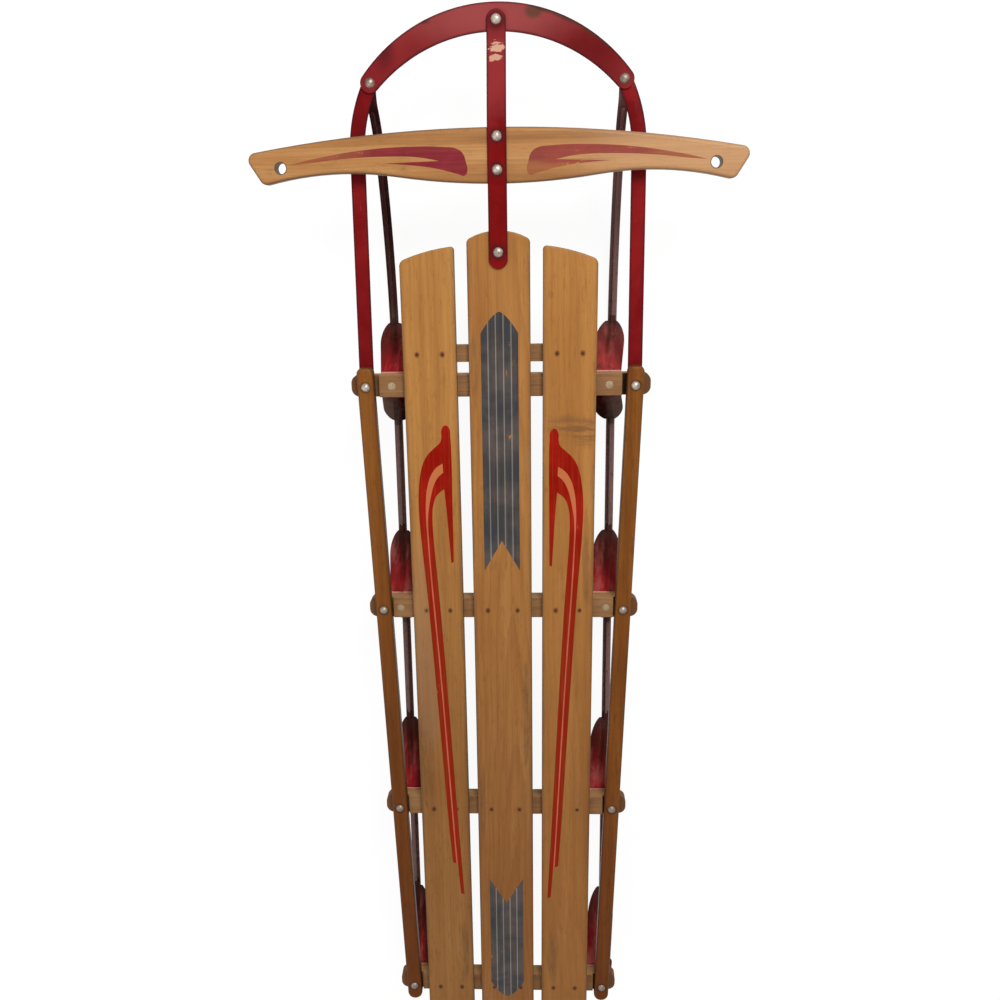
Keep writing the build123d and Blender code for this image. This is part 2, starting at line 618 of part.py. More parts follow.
def pivot_rivet():
    return rivet(0, PIVOT_Y, DECK_TOP + STRAP_T + 2 * PLAY, BENCH_TOP, shank_r=PIVOT_SHANK_R)


def bumper_pin():
    return rivet(0, PIN_Y, BUMPER_TOP + STRAP_T + 2 * PLAY, BUMPER_Z)


def all_parts():
    parts = {
        "slat_centre": centre_slat(),
        "front_cleat": front_cleat(),
        "bumper": bumper(),
        "steering_handle": handle(),
        "steering_strap": steering_strap(),
        "rail_rivets": rail_rivets(),
        "knee_rivets": knee_rivets(),
        "bumper_end_rivets": bumper_end_rivets(),
        "handle_rivets": handle_rivets(),
        "pivot_rivet": pivot_rivet(),
        "bumper_pin": bumper_pin(),
    }
    for index in range(BENCH_COUNT):
        parts[f"bench_{index + 1}"] = bench(index)
    for name, side in SIDES.items():
        parts[f"slat_{name}"] = side_slat(side)
        parts[f"rail_{name}"] = rail(side)
        parts[f"runner_{name}"] = runner(side)
        parts[f"side_strip_{name}"] = side_strip(side)
        for index in range(BENCH_COUNT):
            parts[f"knee_{name}_{index + 1}"] = knee(side, index)
    return parts


os.makedirs("parts", exist_ok=True)
for part_name, shape in all_parts().items():
    export_step(shape, f"parts/{part_name}.step")
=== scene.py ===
import bpy
import bmesh
import math
from mathutils import Matrix, Vector


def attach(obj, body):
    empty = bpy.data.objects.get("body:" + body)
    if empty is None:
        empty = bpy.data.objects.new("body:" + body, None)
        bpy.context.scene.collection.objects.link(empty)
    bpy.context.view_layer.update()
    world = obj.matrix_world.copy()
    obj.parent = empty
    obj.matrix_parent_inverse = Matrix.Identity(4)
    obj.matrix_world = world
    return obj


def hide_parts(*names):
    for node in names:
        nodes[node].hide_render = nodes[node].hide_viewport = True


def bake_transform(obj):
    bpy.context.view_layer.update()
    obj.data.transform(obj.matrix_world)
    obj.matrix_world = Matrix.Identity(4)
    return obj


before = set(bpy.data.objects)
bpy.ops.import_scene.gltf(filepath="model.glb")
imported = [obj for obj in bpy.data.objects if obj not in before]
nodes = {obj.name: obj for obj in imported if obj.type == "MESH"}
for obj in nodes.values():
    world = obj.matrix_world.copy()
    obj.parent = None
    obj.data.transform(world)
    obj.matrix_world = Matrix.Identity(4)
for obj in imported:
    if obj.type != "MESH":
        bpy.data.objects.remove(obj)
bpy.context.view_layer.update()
mm = 0.001
print("frame loaded:", len(nodes), "CAD nodes")

# Places that several pieces share, in mm. A spread is how much closer in it is at the last bench
plan = {
    "benchFront": 308.0, "benchPitch": 320.0, "benches": 4, "cleatY": 351.5, "deckTop": 170.0,
    "slatX": 93.05, "slatSpread": 3.5, "railX": 181.2, "railSpread": 32.3,
}
benchRows = [plan["benchFront"] - plan["benchPitch"] * number for number in range(plan["benches"])]
benchRun = benchRows[0] - benchRows[-1]


# Shader maths

class Flow:
    def __init__(self, tree, socket=None):
        self.tree = tree
        self.socket = socket

    def node(self, kind, settings=None, inputs=None, out=0):
        made = self.tree.nodes.new("ShaderNode" + kind)
        for name, value in (settings or {}).items():
            if name == "stops":
                stops = made.color_ramp.elements
                stops[0].position, stops[0].color = value[0]
                stops[1].position, stops[1].color = value[-1]
                for place, colour in value[1:-1]:
                    stops.new(place).color = colour
            else:
                setattr(made, name, value)
        for key, value in (inputs or {}).items():
            if isinstance(value, Flow):
                self.tree.links.new(value.socket, made.inputs[key])
            else:
                made.inputs[key].default_value = value
        return Flow(self.tree, made.outputs[out] if made.outputs else None)

    def other(self, out):  # another output of the same node
        return Flow(self.tree, self.socket.node.outputs[out])

    def math(self, operation, *values):
        return self.node("Math", {"operation": operation}, dict(enumerate(values)))

    def __add__(self, more):
        return self.math("ADD", self, more)

    def __radd__(self, more):
        return self.math("ADD", more, self)

    def __sub__(self, less):
        return self.math("SUBTRACT", self, less)

    def __rsub__(self, whole):
        return self.math("SUBTRACT", whole, self)

    def __mul__(self, times):
        return self.math("MULTIPLY", self, times)

    def __rmul__(self, times):
        return self.math("MULTIPLY", times, self)

    def __truediv__(self, parts):
        return self.math("DIVIDE", self, parts)

    def __pow__(self, power):
        return self.math("POWER", self, power)

    def __mod__(self, step):
        return self.math("FLOORED_MODULO", self, step)

    def __abs__(self):
        return self.math("ABSOLUTE", self)


def startFinish(name):
    finish = bpy.data.materials.new(name)
    finish.use_nodes = True
    finish.node_tree.nodes.clear()
    return finish, Flow(finish.node_tree)


def endFinish(flow, sockets):
    surface = flow.node("BsdfPrincipled", {}, sockets)
    flow.node("OutputMaterial", {}, {"Surface": surface})


def mixColour(share, first, second, how="MIX"):
    settings = {"data_type": "RGBA", "blend_type": how, "clamp_factor": True}
    return share.node("Mix", settings, {0: share, 6: first, 7: second}, 2)


def ease(value, low, high, start=0.0, end=1.0):  # smooth step from low to high
    settings = {"interpolation_type": "SMOOTHSTEP", "clamp": True}
    return value.node("MapRange", settings, {0: value, 1: low, 2: high, 3: start, 4: end})


def within(value, span, start=0.0, end=1.0):  # smooth step over a span in mm
    return ease(value, span[0] * mm, span[1] * mm, start, end)


def sway(noise, amount):  # noise between 0 and 1, moved to both sides of zero
    return (noise - 0.5) * amount


def fuzzy(value, noise, width):  # a ragged border, its width in mm
    return value + sway(noise, width * mm)


def larger(first, second):
    return first.math("MAXIMUM", first, second)


def smaller(first, second):
    return first.math("MINIMUM", first, second)


def distance(across, along):
    return (across * across + along * along) ** 0.5


# A noise in a look is its scale, stretch, detail, roughness and distortion
def speckle(place, scale, stretch, detail, rough, bend=0.0, shift=(0, 0, 0)):
    spread = place.node("Mapping", {}, {"Vector": place, "Scale": stretch, "Location": shift})
    inputs = {"Vector": spread, "Scale": scale, "Detail": detail, "Roughness": rough, "Distortion": bend}
    return place.node("TexNoise", {}, inputs)


def spot(x, y, centre, size, fuzz, soft=0.25):  # round patch, 1 in the middle
    border = 0.9  # where it is half gone, as a share of its size
    across = (x - centre[0] * mm) / (size[0] * mm)
    along = (y - centre[1] * mm) / (size[1] * mm)
    return ease(distance(across, along) + fuzz, border + soft, border - soft)


def bumpy(height, strength, depth):  # depth in mm
    return height.node("Bump", {}, {"Strength": strength, "Distance": depth * mm, "Height": height})


def places(flow):
    place = flow.node("TexCoord", {}, {}, "Object")
    split = flow.node("SeparateXYZ", {}, {0: place})
    return place, split, split.other(1), split.other(2)


def fromBench(y):  # how far ahead of the nearest bench
    pitch = plan["benchPitch"] * mm
    return (y - plan["benchFront"] * mm + pitch / 2) % pitch - pitch / 2


def fromRail(x, y):  # how far outside the middle line of a side rail
    slope = plan["railSpread"] / benchRun
    return abs(x) - (y - plan["benchFront"] * mm) * slope - plan["railX"] * mm


# Wood. Lengths are in mm, and the pith's height is from the deck's top

grainNoise = {  # scale, stretch along the grain, detail, roughness, distortion, stretch across it
    "wander": (4.0, 0.55, 2.0, 0.45, 0.0, 1.6), "ripple": (60.0, 0.06, 3.0, 0.55, 0.0, 1.0),
    "streak": (42.0, 0.035, 3.0, 0.6, 0.25, 1.0), "cloud": (9.0, 0.4, 3.0, 0.6, 0.4, 1.0),
    "fibre": (520.0, 0.018, 2.0, 0.7, 0.0, 1.0), "pore": (1500.0, 0.03, 1.0, 0.5, 0.0, 1.0),
    "fleck": (210.0, 0.22, 4.0, 0.72, 0.3, 1.0),
}
woodLook = {
    "light": (0.49, 0.235, 0.060, 1), "base": (0.405, 0.176, 0.038, 1), "dark": (0.225, 0.080, 0.015, 1),
    "alongX": False, "shift": (0.0, 0.0, 0.0), "pith": (20.0, -70.0), "lean": 0.035, "wander": 54.0,
    "ringGap": 5.5, "ripple": 0.9, "lateRise": (0.45, 0.97), "lateFall": (0.97, 1.0), "ringDepth": 0.15,
    "toneStops": (0.28, 0.50, 0.80), "toneMiddle": 0.47, "streak": 0.70, "clouding": 0.45,
    "fibreSpan": (0.42, 0.72), "fibre": 0.25, "fleckSpan": (0.50, 0.72), "fleck": 0.42,
    "pores": True, "poreSpan": (0.66, 0.78), "poreShare": 0.35,
    "fibreRise": 0.5, "lateDip": 0.25, "poreDip": 0.6, "bump": (0.10, 0.6),
    "rough": 0.50, "roughSpread": 0.22, "coat": 0.04, "coatRough": 0.32, "shine": 0.20,
    "topZ": 170.0, "sideDrop": 0.3, "sideFade": 1.5, "sideFuzz": 1.6, "sideShare": 0.70,
    "sideTone": (0.105, 0.062, 0.034, 1),
}


def toneSides(look, colour, z, cloud):  # the rounded edges and sides take the side tone: darker on the slats, rails and handle, and paler on the benches, where it is painted light
    start = look["topZ"] - look["sideDrop"]
    share = within(fuzzy(z, cloud, look["sideFuzz"]), (start, start - look["sideFade"]))
    return mixColour(share * look["sideShare"], colour, look["sideTone"])


def woodColour(flow, look):  # the grain runs along Y, or along X on the benches and the handle
    place, x, y, z = places(flow)
    sideways, lengthways = (y % (plan["benchPitch"] * mm), x) if look["alongX"] else (x, y)

    def drawnOut(kind):  # noise stretched along the grain
        scale, along, detail, rough, bend, side = grainNoise[kind]
        stretch = (along, side, side) if look["alongX"] else (side, along, side)
        return speckle(place, scale, stretch, detail, rough, bend, look["shift"])

    side = fuzzy(sideways, drawnOut("wander"), look["wander"]) - look["pith"][0] * mm
    depth = z + lengthways * look["lean"] - (look["pith"][1] + plan["deckTop"]) * mm
    ring = (distance(side, depth) / (look["ringGap"] * mm) + drawnOut("ripple") * look["ripple"]) % 1.0
    late = ease(ring, *look["lateRise"]) - ease(ring, *look["lateFall"])  # sharp on one side
    streak = drawnOut("streak")
    cloud = drawnOut("cloud")
    fibre = drawnOut("fibre")
    fleck = drawnOut("fleck")
    stops = list(zip(look["toneStops"], (look["light"], look["base"], look["dark"])))
    shade = sway(streak, look["streak"]) + sway(cloud, look["clouding"]) + look["toneMiddle"]
    colour = flow.node("ValToRGB", {"stops": stops}, {0: shade})
    colour = mixColour(late * look["ringDepth"], colour, look["dark"])
    colour = mixColour(ease(fibre, *look["fibreSpan"]) * look["fibre"], colour, look["dark"])
    height = fibre * look["fibreRise"] - late * look["lateDip"]
    if look["pores"]:
        pore = ease(drawnOut("pore"), *look["poreSpan"])
        colour = mixColour(pore * look["poreShare"], colour, look["dark"])
        height = height - pore * look["poreDip"]
    colour = mixColour(ease(fleck, *look["fleckSpan"]) * look["fleck"], colour, look["dark"])
    colour = toneSides(look, colour, z, cloud)
    return {"colour": colour, "height": height, "cloud": cloud, "fibre": fibre, "fleck": fleck,
            "place": place, "x": x, "y": y, "z": z}


def finishWood(flow, grain, look, colour, roughMore=None):
    rough = sway(grain["cloud"], look["roughSpread"]) + look["rough"]
    if roughMore is not None:
        rough = rough + roughMore
    endFinish(flow, {"Base Color": colour, "Roughness": rough,
                     "Normal": bumpy(grain["height"], *look["bump"]),
                     "Specular IOR Level": look["shine"],
                     "Coat Weight": look["coat"], "Coat Roughness": look["coatRough"]})


def tailDirtAndShade(look, colour, y):  # darker wood towards the rear: partly dirt, partly painted shade where less light reaches
    return mixColour(within(y, look["tailSpan"]), colour, look["tail"], "MULTIPLY")


# Deck slats. Each mark in a list is its centre and its half size

deckLook = {
    **woodLook, "rubNoise": (38.0, (1.0, 0.25, 1.0), 4.0, 0.65, 0.3), "rubSpan": (0.60, 0.78),
    "rubShare": 0.20, "edgeIn": 6.0, "edgeOut": 1.5, "edgeFuzz": 9.0, "edgeShare": 0.55, "edgeRough": 0.12,
    "grime": (0.085, 0.050, 0.026, 1), "nailsTo": 150.0, "nailDrawn": 0.7, "stainSpan": (4.4, 2.2),
    "stainFuzz": 3.0, "stainShare": 0.75, "nailStain": (0.085, 0.025, 0.008, 1),
    "smudgeFuzz": 2.6, "smudgeShare": 0.40, "smudgeSpan": (0.30, 0.70), "smudgeLeast": 0.4,
    "sawn": [], "sawNoise": (170.0, (0.16, 1.0, 1.0), 4.0, 0.7, 0.2), "sawSpan": (0.34, 0.60),
    "sawFuzz": 1.8, "sawSoft": 0.45, "sawShare": 0.80, "sawTone": (0.200, 0.082, 0.026, 1),
    "worn": [], "wornFuzz": 1.6, "wornShare": 0.38, "wornRough": 0.5, "wornTone": (0.39, 0.225, 0.125, 1),
    "tailSpan": (350.0, -350.0),
}
slatLooks = {
    "centre": {
        **deckLook, "side": 0, "halfWidth": 41.25, "nailOffset": 21.0, "pith": (12.0, -48.0), "lean": 0.030,
        "light": (0.46, 0.212, 0.055, 1), "base": (0.365, 0.148, 0.031, 1), "ringDepth": 0.30, "fibre": 0.32,
        "tail": (0.70, 0.66, 0.66, 1),
        "smudges": [((32, -190), (5, 90)), ((-33, -330), (5, 70)), ((-34, 330), (4, 50))],
    },
    "left": {
        **deckLook, "side": -1, "halfWidth": 35.9, "nailOffset": 17.0, "pith": (-150.0, -40.0), "lean": 0.016,
        "shift": (3.1, 0.7, 0.2), "tail": (0.62, 0.58, 0.57, 1), "worn": [((-108, -70), (22, 170))],
        "smudges": [((-120, -250), (6, 90)), ((-66, -590), (6, 60))],
    },
    "right": {
        **deckLook, "side": 1, "halfWidth": 35.9, "nailOffset": 17.0, "pith": (132.0, -60.0), "lean": -0.020,
        "light": (0.46, 0.206, 0.048, 1), "base": (0.375, 0.154, 0.031, 1), "shift": (5.3, 2.2, 0.6),
        "tail": (0.75, 0.71, 0.73, 1), "sawn": [((112, 247), (18, 20)), ((92, 255), (30, 15))],
        "smudges": [((68, 428), (3, 5)), ((72, -590), (7, 60)), ((118, 60), (5, 80))],
    },
}


def deckFinish(name, look):
    finish, flow = startFinish(name)
    grain = woodColour(flow, look)
    x, y = grain["x"], grain["y"]
    slope = plan["slatSpread"] / benchRun * look["side"]
    middle = (y - plan["benchFront"] * mm) * slope + plan["slatX"] * look["side"] * mm
    across = abs(x - middle)
    rub = speckle(grain["place"], *look["rubNoise"], look["shift"])
    edgeSpan = (look["halfWidth"] - look["edgeIn"], look["halfWidth"] + look["edgeOut"])
    edge = within(fuzzy(across, rub, look["edgeFuzz"]), edgeSpan)
    colour = mixColour(edge * look["edgeShare"], grain["colour"], look["grime"])
    # stained wood round each nail, on the cleat and on every bench but the first
    benchRow = abs(fromBench(y)) + y.math("GREATER_THAN", y, look["nailsTo"] * mm)
    row = smaller(benchRow, abs(y - plan["cleatY"] * mm))
    fromNail = across - look["nailOffset"] * mm
    reach = (fromNail * fromNail + row * row * look["nailDrawn"]) ** 0.5
    stain = within(fuzzy(reach, rub, look["stainFuzz"]), look["stainSpan"])
    colour = mixColour(stain * look["stainShare"], colour, look["nailStain"])
    patchy = ease(grain["fleck"], *look["smudgeSpan"], look["smudgeLeast"], 1.0)
    for centre, size in look["smudges"]:
        mark = spot(x, y, centre, size, sway(rub, look["smudgeFuzz"])) * patchy
        colour = mixColour(mark * look["smudgeShare"], colour, look["grime"])
    if look["sawn"]:  # rough lines across the grain
        saw = ease(speckle(grain["place"], *look["sawNoise"]), *look["sawSpan"])
        for centre, size in look["sawn"]:
            mark = spot(x, y, centre, size, sway(rub, look["sawFuzz"]), look["sawSoft"]) * saw
            colour = mixColour(mark * look["sawShare"], colour, look["sawTone"])
    worn = ease(rub, *look["rubSpan"]) * look["rubShare"]  # thin varnish, greyer wood
    for centre, size in look["worn"]:
        mark = spot(x, y, centre, size, sway(rub, look["wornFuzz"]))
        worn = larger(worn, mark * look["wornShare"])
    colour = mixColour(worn, colour, look["wornTone"])
    colour = tailDirtAndShade(look, colour, y)
    finishWood(flow, grain, look, colour, edge * look["edgeRough"] + worn * look["wornRough"])
    return finish


# Rails, benches and handle

barLook = {
    **woodLook, "rubNoise": (30.0, (1, 1, 1), 4.0, 0.65, 0.3), "rubSpan": (0.55, 0.80), "rubShare": 0.45,
    "scuffNoise": (140.0, (1, 1, 1), 3.0, 0.7, 0.0), "scuffSpan": (0.68, 0.80), "scuffShare": 0.35,
}
railLook = {
    **barLook, "light": (0.275, 0.100, 0.016, 1), "base": (0.210, 0.068, 0.009, 1),
    "dark": (0.100, 0.028, 0.004, 1), "grime": (0.075, 0.034, 0.015, 1), "sideTone": (0.060, 0.026, 0.011, 1),
    "pith": (170.0, -30.0), "ringGap": 3.6, "wander": 24.0, "shift": (7.7, 1.9, 0.4), "streak": 1.0,
    "fibre": 0.34, "rough": 0.46, "coat": 0.02, "shine": 0.10, "topZ": 168.6,
    "tail": (0.60, 0.48, 0.42, 1), "tailSpan": (300.0, -620.0),
    "rivetSpan": (9.5, 5.8), "rivetFuzz": 3.0, "rivetShare": 0.75, "rivetTone": (0.045, 0.018, 0.007, 1),
}
benchLook = {
    **barLook, "light": (0.34, 0.178, 0.078, 1), "base": (0.268, 0.128, 0.050, 1),
    # the pale side tone is painted light: the benches' sides come out paler than their tops
    "dark": (0.120, 0.056, 0.024, 1), "grime": (0.110, 0.062, 0.034, 1), "sideTone": (0.420, 0.225, 0.085, 1),
    "alongX": True, "pores": False, "fleckSpan": (0.52, 0.74), "pith": (0.0, -30.0), "ringGap": 3.2,
    "wander": 24.0, "shift": (1.3, 4.4, 0.9), "fibre": 0.36, "rough": 0.60, "coat": 0.0, "shine": 0.12,
    "topZ": 158.8, "sideShare": 0.60,
    "endSpan": (9.0, 12.0), "endShare": 0.85, "endTone": (0.118, 0.040, 0.013, 1),
    "notchZ": (155.4, 154.6), "notchIn": (-19.5, -15.5), "notchOut": (-8.0, -11.0), "notchDeep": (14.7, 14.0),
    "notchSides": (-20.0, 20.0), "notchLeft": 0.55, "notchTone": (0.020, 0.008, 0.004, 1),
}
handleLook = {
    **barLook, "light": (0.51, 0.260, 0.094, 1), "base": (0.42, 0.188, 0.056, 1),
    "dark": (0.23, 0.092, 0.026, 1), "grime": (0.180, 0.090, 0.045, 1), "sideTone": (0.110, 0.060, 0.034, 1),
    "alongX": True, "pores": False, "fleckSpan": (0.52, 0.74), "pith": (40.0, -45.0), "ringGap": 4.2,
    "wander": 36.0, "shift": (2.5, 3.3, 1.7), "streak": 0.95, "fibre": 0.34, "rough": 0.46, "coat": 0.05,
    "paleSpan": (60.0, 190.0), "paleShare": 0.30, "paleTone": (0.62, 0.38, 0.22, 1),
    "holeX": 276.0, "holeY": 589.7, "holeR": 7.0, "holeRim": (1.6, 0.3), "holeShare": 0.92,
    "holeTone": (0.030, 0.016, 0.009, 1),
}


def railMarksAndShade(look, colour, grain, rub):  # painted contact shadow: dark rings round the rivets; then partly dirt, partly painted shade towards the rear
    reach = distance(fromBench(grain["y"]), fromRail(grain["x"], grain["y"]))
    ring = within(fuzzy(reach, rub, look["rivetFuzz"]), look["rivetSpan"])
    colour = mixColour(ring * look["rivetShare"], colour, look["rivetTone"])
    return tailDirtAndShade(look, colour, grain["y"])


def benchMarksAndShade(look, colour, grain, rub):  # dark ends, and painted shadow in the notches beside the rails
    outside = fromRail(grain["x"], grain["y"])
    end = within(outside, look["endSpan"])
    colour = mixColour(end * look["endShare"], colour, look["endTone"])
    low = within(grain["z"], look["notchZ"]) * within(outside, look["notchIn"])
    low = low * within(abs(fromBench(grain["y"])), look["notchDeep"])  # not the bench's front
    low = low * within(grain["x"], look["notchSides"], look["notchLeft"], 1.0)  # paler on the left
    return mixColour(low * within(outside, look["notchOut"]), colour, look["notchTone"])


def handleMarksAndShade(look, colour, grain, rub):  # paler right half, and painted shade round and inside the rope holes
    pale = within(grain["x"], look["paleSpan"]) * look["paleShare"]
    colour = mixColour(pale, colour, look["paleTone"])
    reach = distance(abs(grain["x"]) - look["holeX"] * mm, grain["y"] - look["holeY"] * mm)
    holeShade = within(reach, [look["holeR"] + rim for rim in look["holeRim"]])
    return mixColour(holeShade * look["holeShare"], colour, look["holeTone"])


# each marks function adds real marks and painted shade on top of the grain
def plainWood(name, look, marksAndShade):
    finish, flow = startFinish(name)
    grain = woodColour(flow, look)
    rub = speckle(grain["place"], *look["rubNoise"], look["shift"])
    scuff = speckle(grain["place"], *look["scuffNoise"], look["shift"])
    rubbed = ease(rub, *look["rubSpan"]) * look["rubShare"]
    scuffed = ease(scuff, *look["scuffSpan"]) * look["scuffShare"]
    colour = mixColour(rubbed, grain["colour"], look["grime"])
    colour = mixColour(scuffed, colour, look["light"])
    finishWood(flow, grain, look, marksAndShade(look, colour, grain, rub))
    return finish


# Red enamel. Each patch is its centre, half size, tint and softness, and a hard one is a flake

enamelLook = {
    # the dust-and-sheen tone colours the scratches, and as painted sheen it pales the paint towards the front
    "deep": (0.150, 0.003, 0.003, 1), "bright": (0.235, 0.006, 0.006, 1), "dusty": (0.280, 0.046, 0.050, 1),
    "cloudNoise": (11.0, (1, 1, 1), 4.0, 0.6, 0.5), "wearNoise": (55.0, (1, 1, 1), 5.0, 0.68, 0.4),
    "scratchNoise": (260.0, (1.0, 0.10, 1.0), 3.0, 0.6, 0.6), "peelNoise": (420.0, (1, 1, 1), 2.0, 0.5),
    "flakeNoise": (190.0, (0.5, 1, 1), 3.0, 0.65, 0.3), "brightSpan": (0.34, 0.66),
    "heave": 0.4, "chipDip": 0.6, "peel": 0.12, "bump": (0.12, 0.6),
    "scratchSpan": (0.66, 0.74), "scratchShare": 0.30, "dustSpan": None, "dustFuzz": 100.0, "dustShare": 0.38,
    "chip": (0.070, 0.040, 0.026, 1), "chipSpan": (0.735, 0.755), "chipShare": 0.85,
    "patches": [], "patchShare": 0.88, "stainSoft": 0.25, "stainFuzz": (0.9, 0.3), "flakeFuzz": 3.2,
    "rim": (0.050, 0.006, 0.009, 1), "rimSpan": (3.4, 0.2), "rimFuzz": 2.4, "rimShare": 0.75,
    "rough": 0.36, "roughSpread": 0.28, "chipRough": 0.30, "scratchRough": 0.10,
    "coat": 0.02, "coatRough": 0.18, "shine": 0.030,
}
strapLook = {
    **enamelLook, "halfWidth": 12.2, "dustSpan": (600.0, 700.0),
    # the first two patches are bare metal; the soft dark ones are painted shade round the pin and the rivets
    "patches": [((0.0, 730), (10.5, 8), (0.62, 0.36, 0.24, 1), 0.12),
                ((1.0, 719), (7.5, 5.5), (0.58, 0.33, 0.22, 1), 0.12),
                ((0, 763), (13, 12), (0.080, 0.008, 0.010, 1), 0.45),
                ((0, 624.4), (10, 10), (0.070, 0.007, 0.008, 1), 0.45),
                ((0, 584.2), (10, 10), (0.070, 0.007, 0.008, 1), 0.45),
                ((0, 482.7), (11, 11), (0.060, 0.007, 0.008, 1), 0.45)],
}
stripLook = {
    **enamelLook, "deep": (0.150, 0.004, 0.005, 1), "bright": (0.232, 0.009, 0.010, 1), "rough": 0.30,
    "halfWidth": 9.6, "bendR": 183.0, "bendX": 1.8, "bendY": 609.6,
}
bumperLook = {
    **enamelLook, "deep": (0.145, 0.011, 0.012, 1), "bright": (0.225, 0.019, 0.020, 1),
    "outerY": 567.7, "outerR": 216.3, "innerY": 540.8, "innerR": 209.2, "dustSpan": (735.0, 800.0),
    "rubFrom": (44.0, 58.0), "rubTo": (150.0, 128.0), "rubSpan": (7.0, 1.5), "rubFuzz": (9.0, 5.0),
    "rubShare": 0.85, "rubTone": (0.058, 0.026, 0.018, 1),
    # the large soft patches are painted light and shade: a highlight at the apex and deeper red towards the
    # ends; the small ones are worn flakes
    "patches": [((-8, 768), (96, 32), (0.310, 0.060, 0.058, 1), 0.75),
                ((128, 728), (50, 38), (0.118, 0.006, 0.007, 1), 0.75),
                ((47, 773), (12, 9), (0.105, 0.046, 0.030, 1), 0.35),
                ((-158, 706), (40, 34), (0.205, 0.014, 0.017, 1), 0.75),
                ((-141, 731), (13, 26), (0.098, 0.010, 0.012, 1), 0.70),
                ((-92, 764), (10, 5), (0.105, 0.030, 0.024, 1), 0.35)],
}


def strapRim(look, x, y):  # distance in from the nearest border
    return look["halfWidth"] * mm - abs(x)


def stripRim(look, x, y):
    ahead = larger(y - look["bendY"] * mm, 0.0)
    reach = distance(abs(x) + look["bendX"] * mm, ahead)
    return look["halfWidth"] * mm - abs(reach - look["bendR"] * mm)


def insideBumper(look, x, y):  # distance in from its outer edge
    return look["outerR"] * mm - distance(x, y - look["outerY"] * mm)


def bumperRim(look, x, y):
    fromInner = distance(x, y - look["innerY"] * mm) - look["innerR"] * mm
    return smaller(insideBumper(look, x, y), fromInner)


def rubbedEdge(look, x, y, cloud, wear):  # paint worn thin along the outer edge on the right
    inside = fuzzy(fuzzy(insideBumper(look, x, y), cloud, look["rubFuzz"][0]), wear, look["rubFuzz"][1])
    stretch = within(x, look["rubFrom"]) * within(x, look["rubTo"])
    return within(inside, look["rubSpan"]) * stretch


def redEnamel(name, look, rim, rub=None):
    finish, flow = startFinish(name)
    place, x, y, _ = places(flow)
    cloud = speckle(place, *look["cloudNoise"])
    wear = speckle(place, *look["wearNoise"])
    scratch = ease(speckle(place, *look["scratchNoise"]), *look["scratchSpan"])
    colour = mixColour(ease(cloud, *look["brightSpan"]), look["deep"], look["bright"])
    colour = mixColour(scratch * look["scratchShare"], colour, look["dusty"])
    # painted sheen: the paint turns paler towards the front
    if look["dustSpan"]:
        sheen = within(fuzzy(y, cloud, look["dustFuzz"]), look["dustSpan"])
        colour = mixColour(sheen * look["dustShare"], colour, look["dusty"])
    bare = ease(wear, *look["chipSpan"])
    colour = mixColour(bare * look["chipShare"], colour, look["chip"])
    if look["patches"]:
        stain = sway(cloud, look["stainFuzz"][0]) + sway(wear, look["stainFuzz"][1])
        flake = sway(speckle(place, *look["flakeNoise"]), look["flakeFuzz"])
        # every patch also counts as bare paint for the height and roughness, the painted light and shade
        # patches too
        for centre, size, tint, soft in look["patches"]:
            mark = spot(x, y, centre, size, stain if soft > look["stainSoft"] else flake, soft)
            colour = mixColour(mark * look["patchShare"], colour, tint)
            bare = larger(bare, mark)
    border = within(fuzzy(rim(look, x, y), wear, look["rimFuzz"]), look["rimSpan"])
    colour = mixColour(border * look["rimShare"], colour, look["rim"])
    if rub:
        rubbed = rub(look, x, y, cloud, wear)
        colour = mixColour(rubbed * look["rubShare"], colour, look["rubTone"])
    peel = speckle(place, *look["peelNoise"]) * look["peel"]
    height = cloud * look["heave"] - bare * look["chipDip"] + peel
    rough = sway(cloud, look["roughSpread"]) + look["rough"]
    rough = rough + bare * look["chipRough"] + scratch * look["scratchRough"]
    endFinish(flow, {"Base Color": colour, "Roughness": rough, "Normal": bumpy(height, *look["bump"]),
                     "Specular IOR Level": look["shine"],
                     "Coat Weight": (1 - bare) * look["coat"], "Coat Roughness": look["coatRough"]})
    return finish


# Dark enamel on the knees and runners

darkLook = {
    "cloudNoise": (16.0, (1, 1, 1), 4.0, 0.6, 0.5), "wearNoise": (70.0, (1, 1, 1), 5.0, 0.70, 0.4),
    "scratchNoise": (240.0, (1.0, 0.07, 0.35), 4.0, 0.66, 0.4), "peelNoise": (300.0, (1, 1, 1), 2.0, 0.5),
    "peel": 0.2, "bump": (0.15, 0.7), "heave": 0.4, "rustDip": 0.5, "roughSpread": 0.30, "rustRough": 0.35,
    "riseFuzz": 60.0, "chipSpan": (0.54, 0.66), "chipShare": 0.50,
    "scratchSpan": (0.60, 0.72), "scratchShare": 0.40, "rustSpan": (0.66, 0.71), "rustShare": 0.70,
}
runnerLook = {
    **darkLook, "low": (0.240, 0.140, 0.126, 1), "high": (0.180, 0.086, 0.080, 1), "rise": (20.0, 120.0),
    "chip": (0.090, 0.050, 0.042, 1), "rust": (0.110, 0.040, 0.016, 1), "rough": 0.48, "shine": 0.01,
    "oldSide": (20.0, -20.0), "oldSpan": (330.0, 430.0), "oldFuzz": 100.0, "oldShare": 0.9,
    "oldTone": (0.034, 0.006, 0.006, 1),
}
footRivetLook = {**runnerLook, "low": (0.130, 0.066, 0.056, 1), "high": (0.100, 0.046, 0.040, 1)}
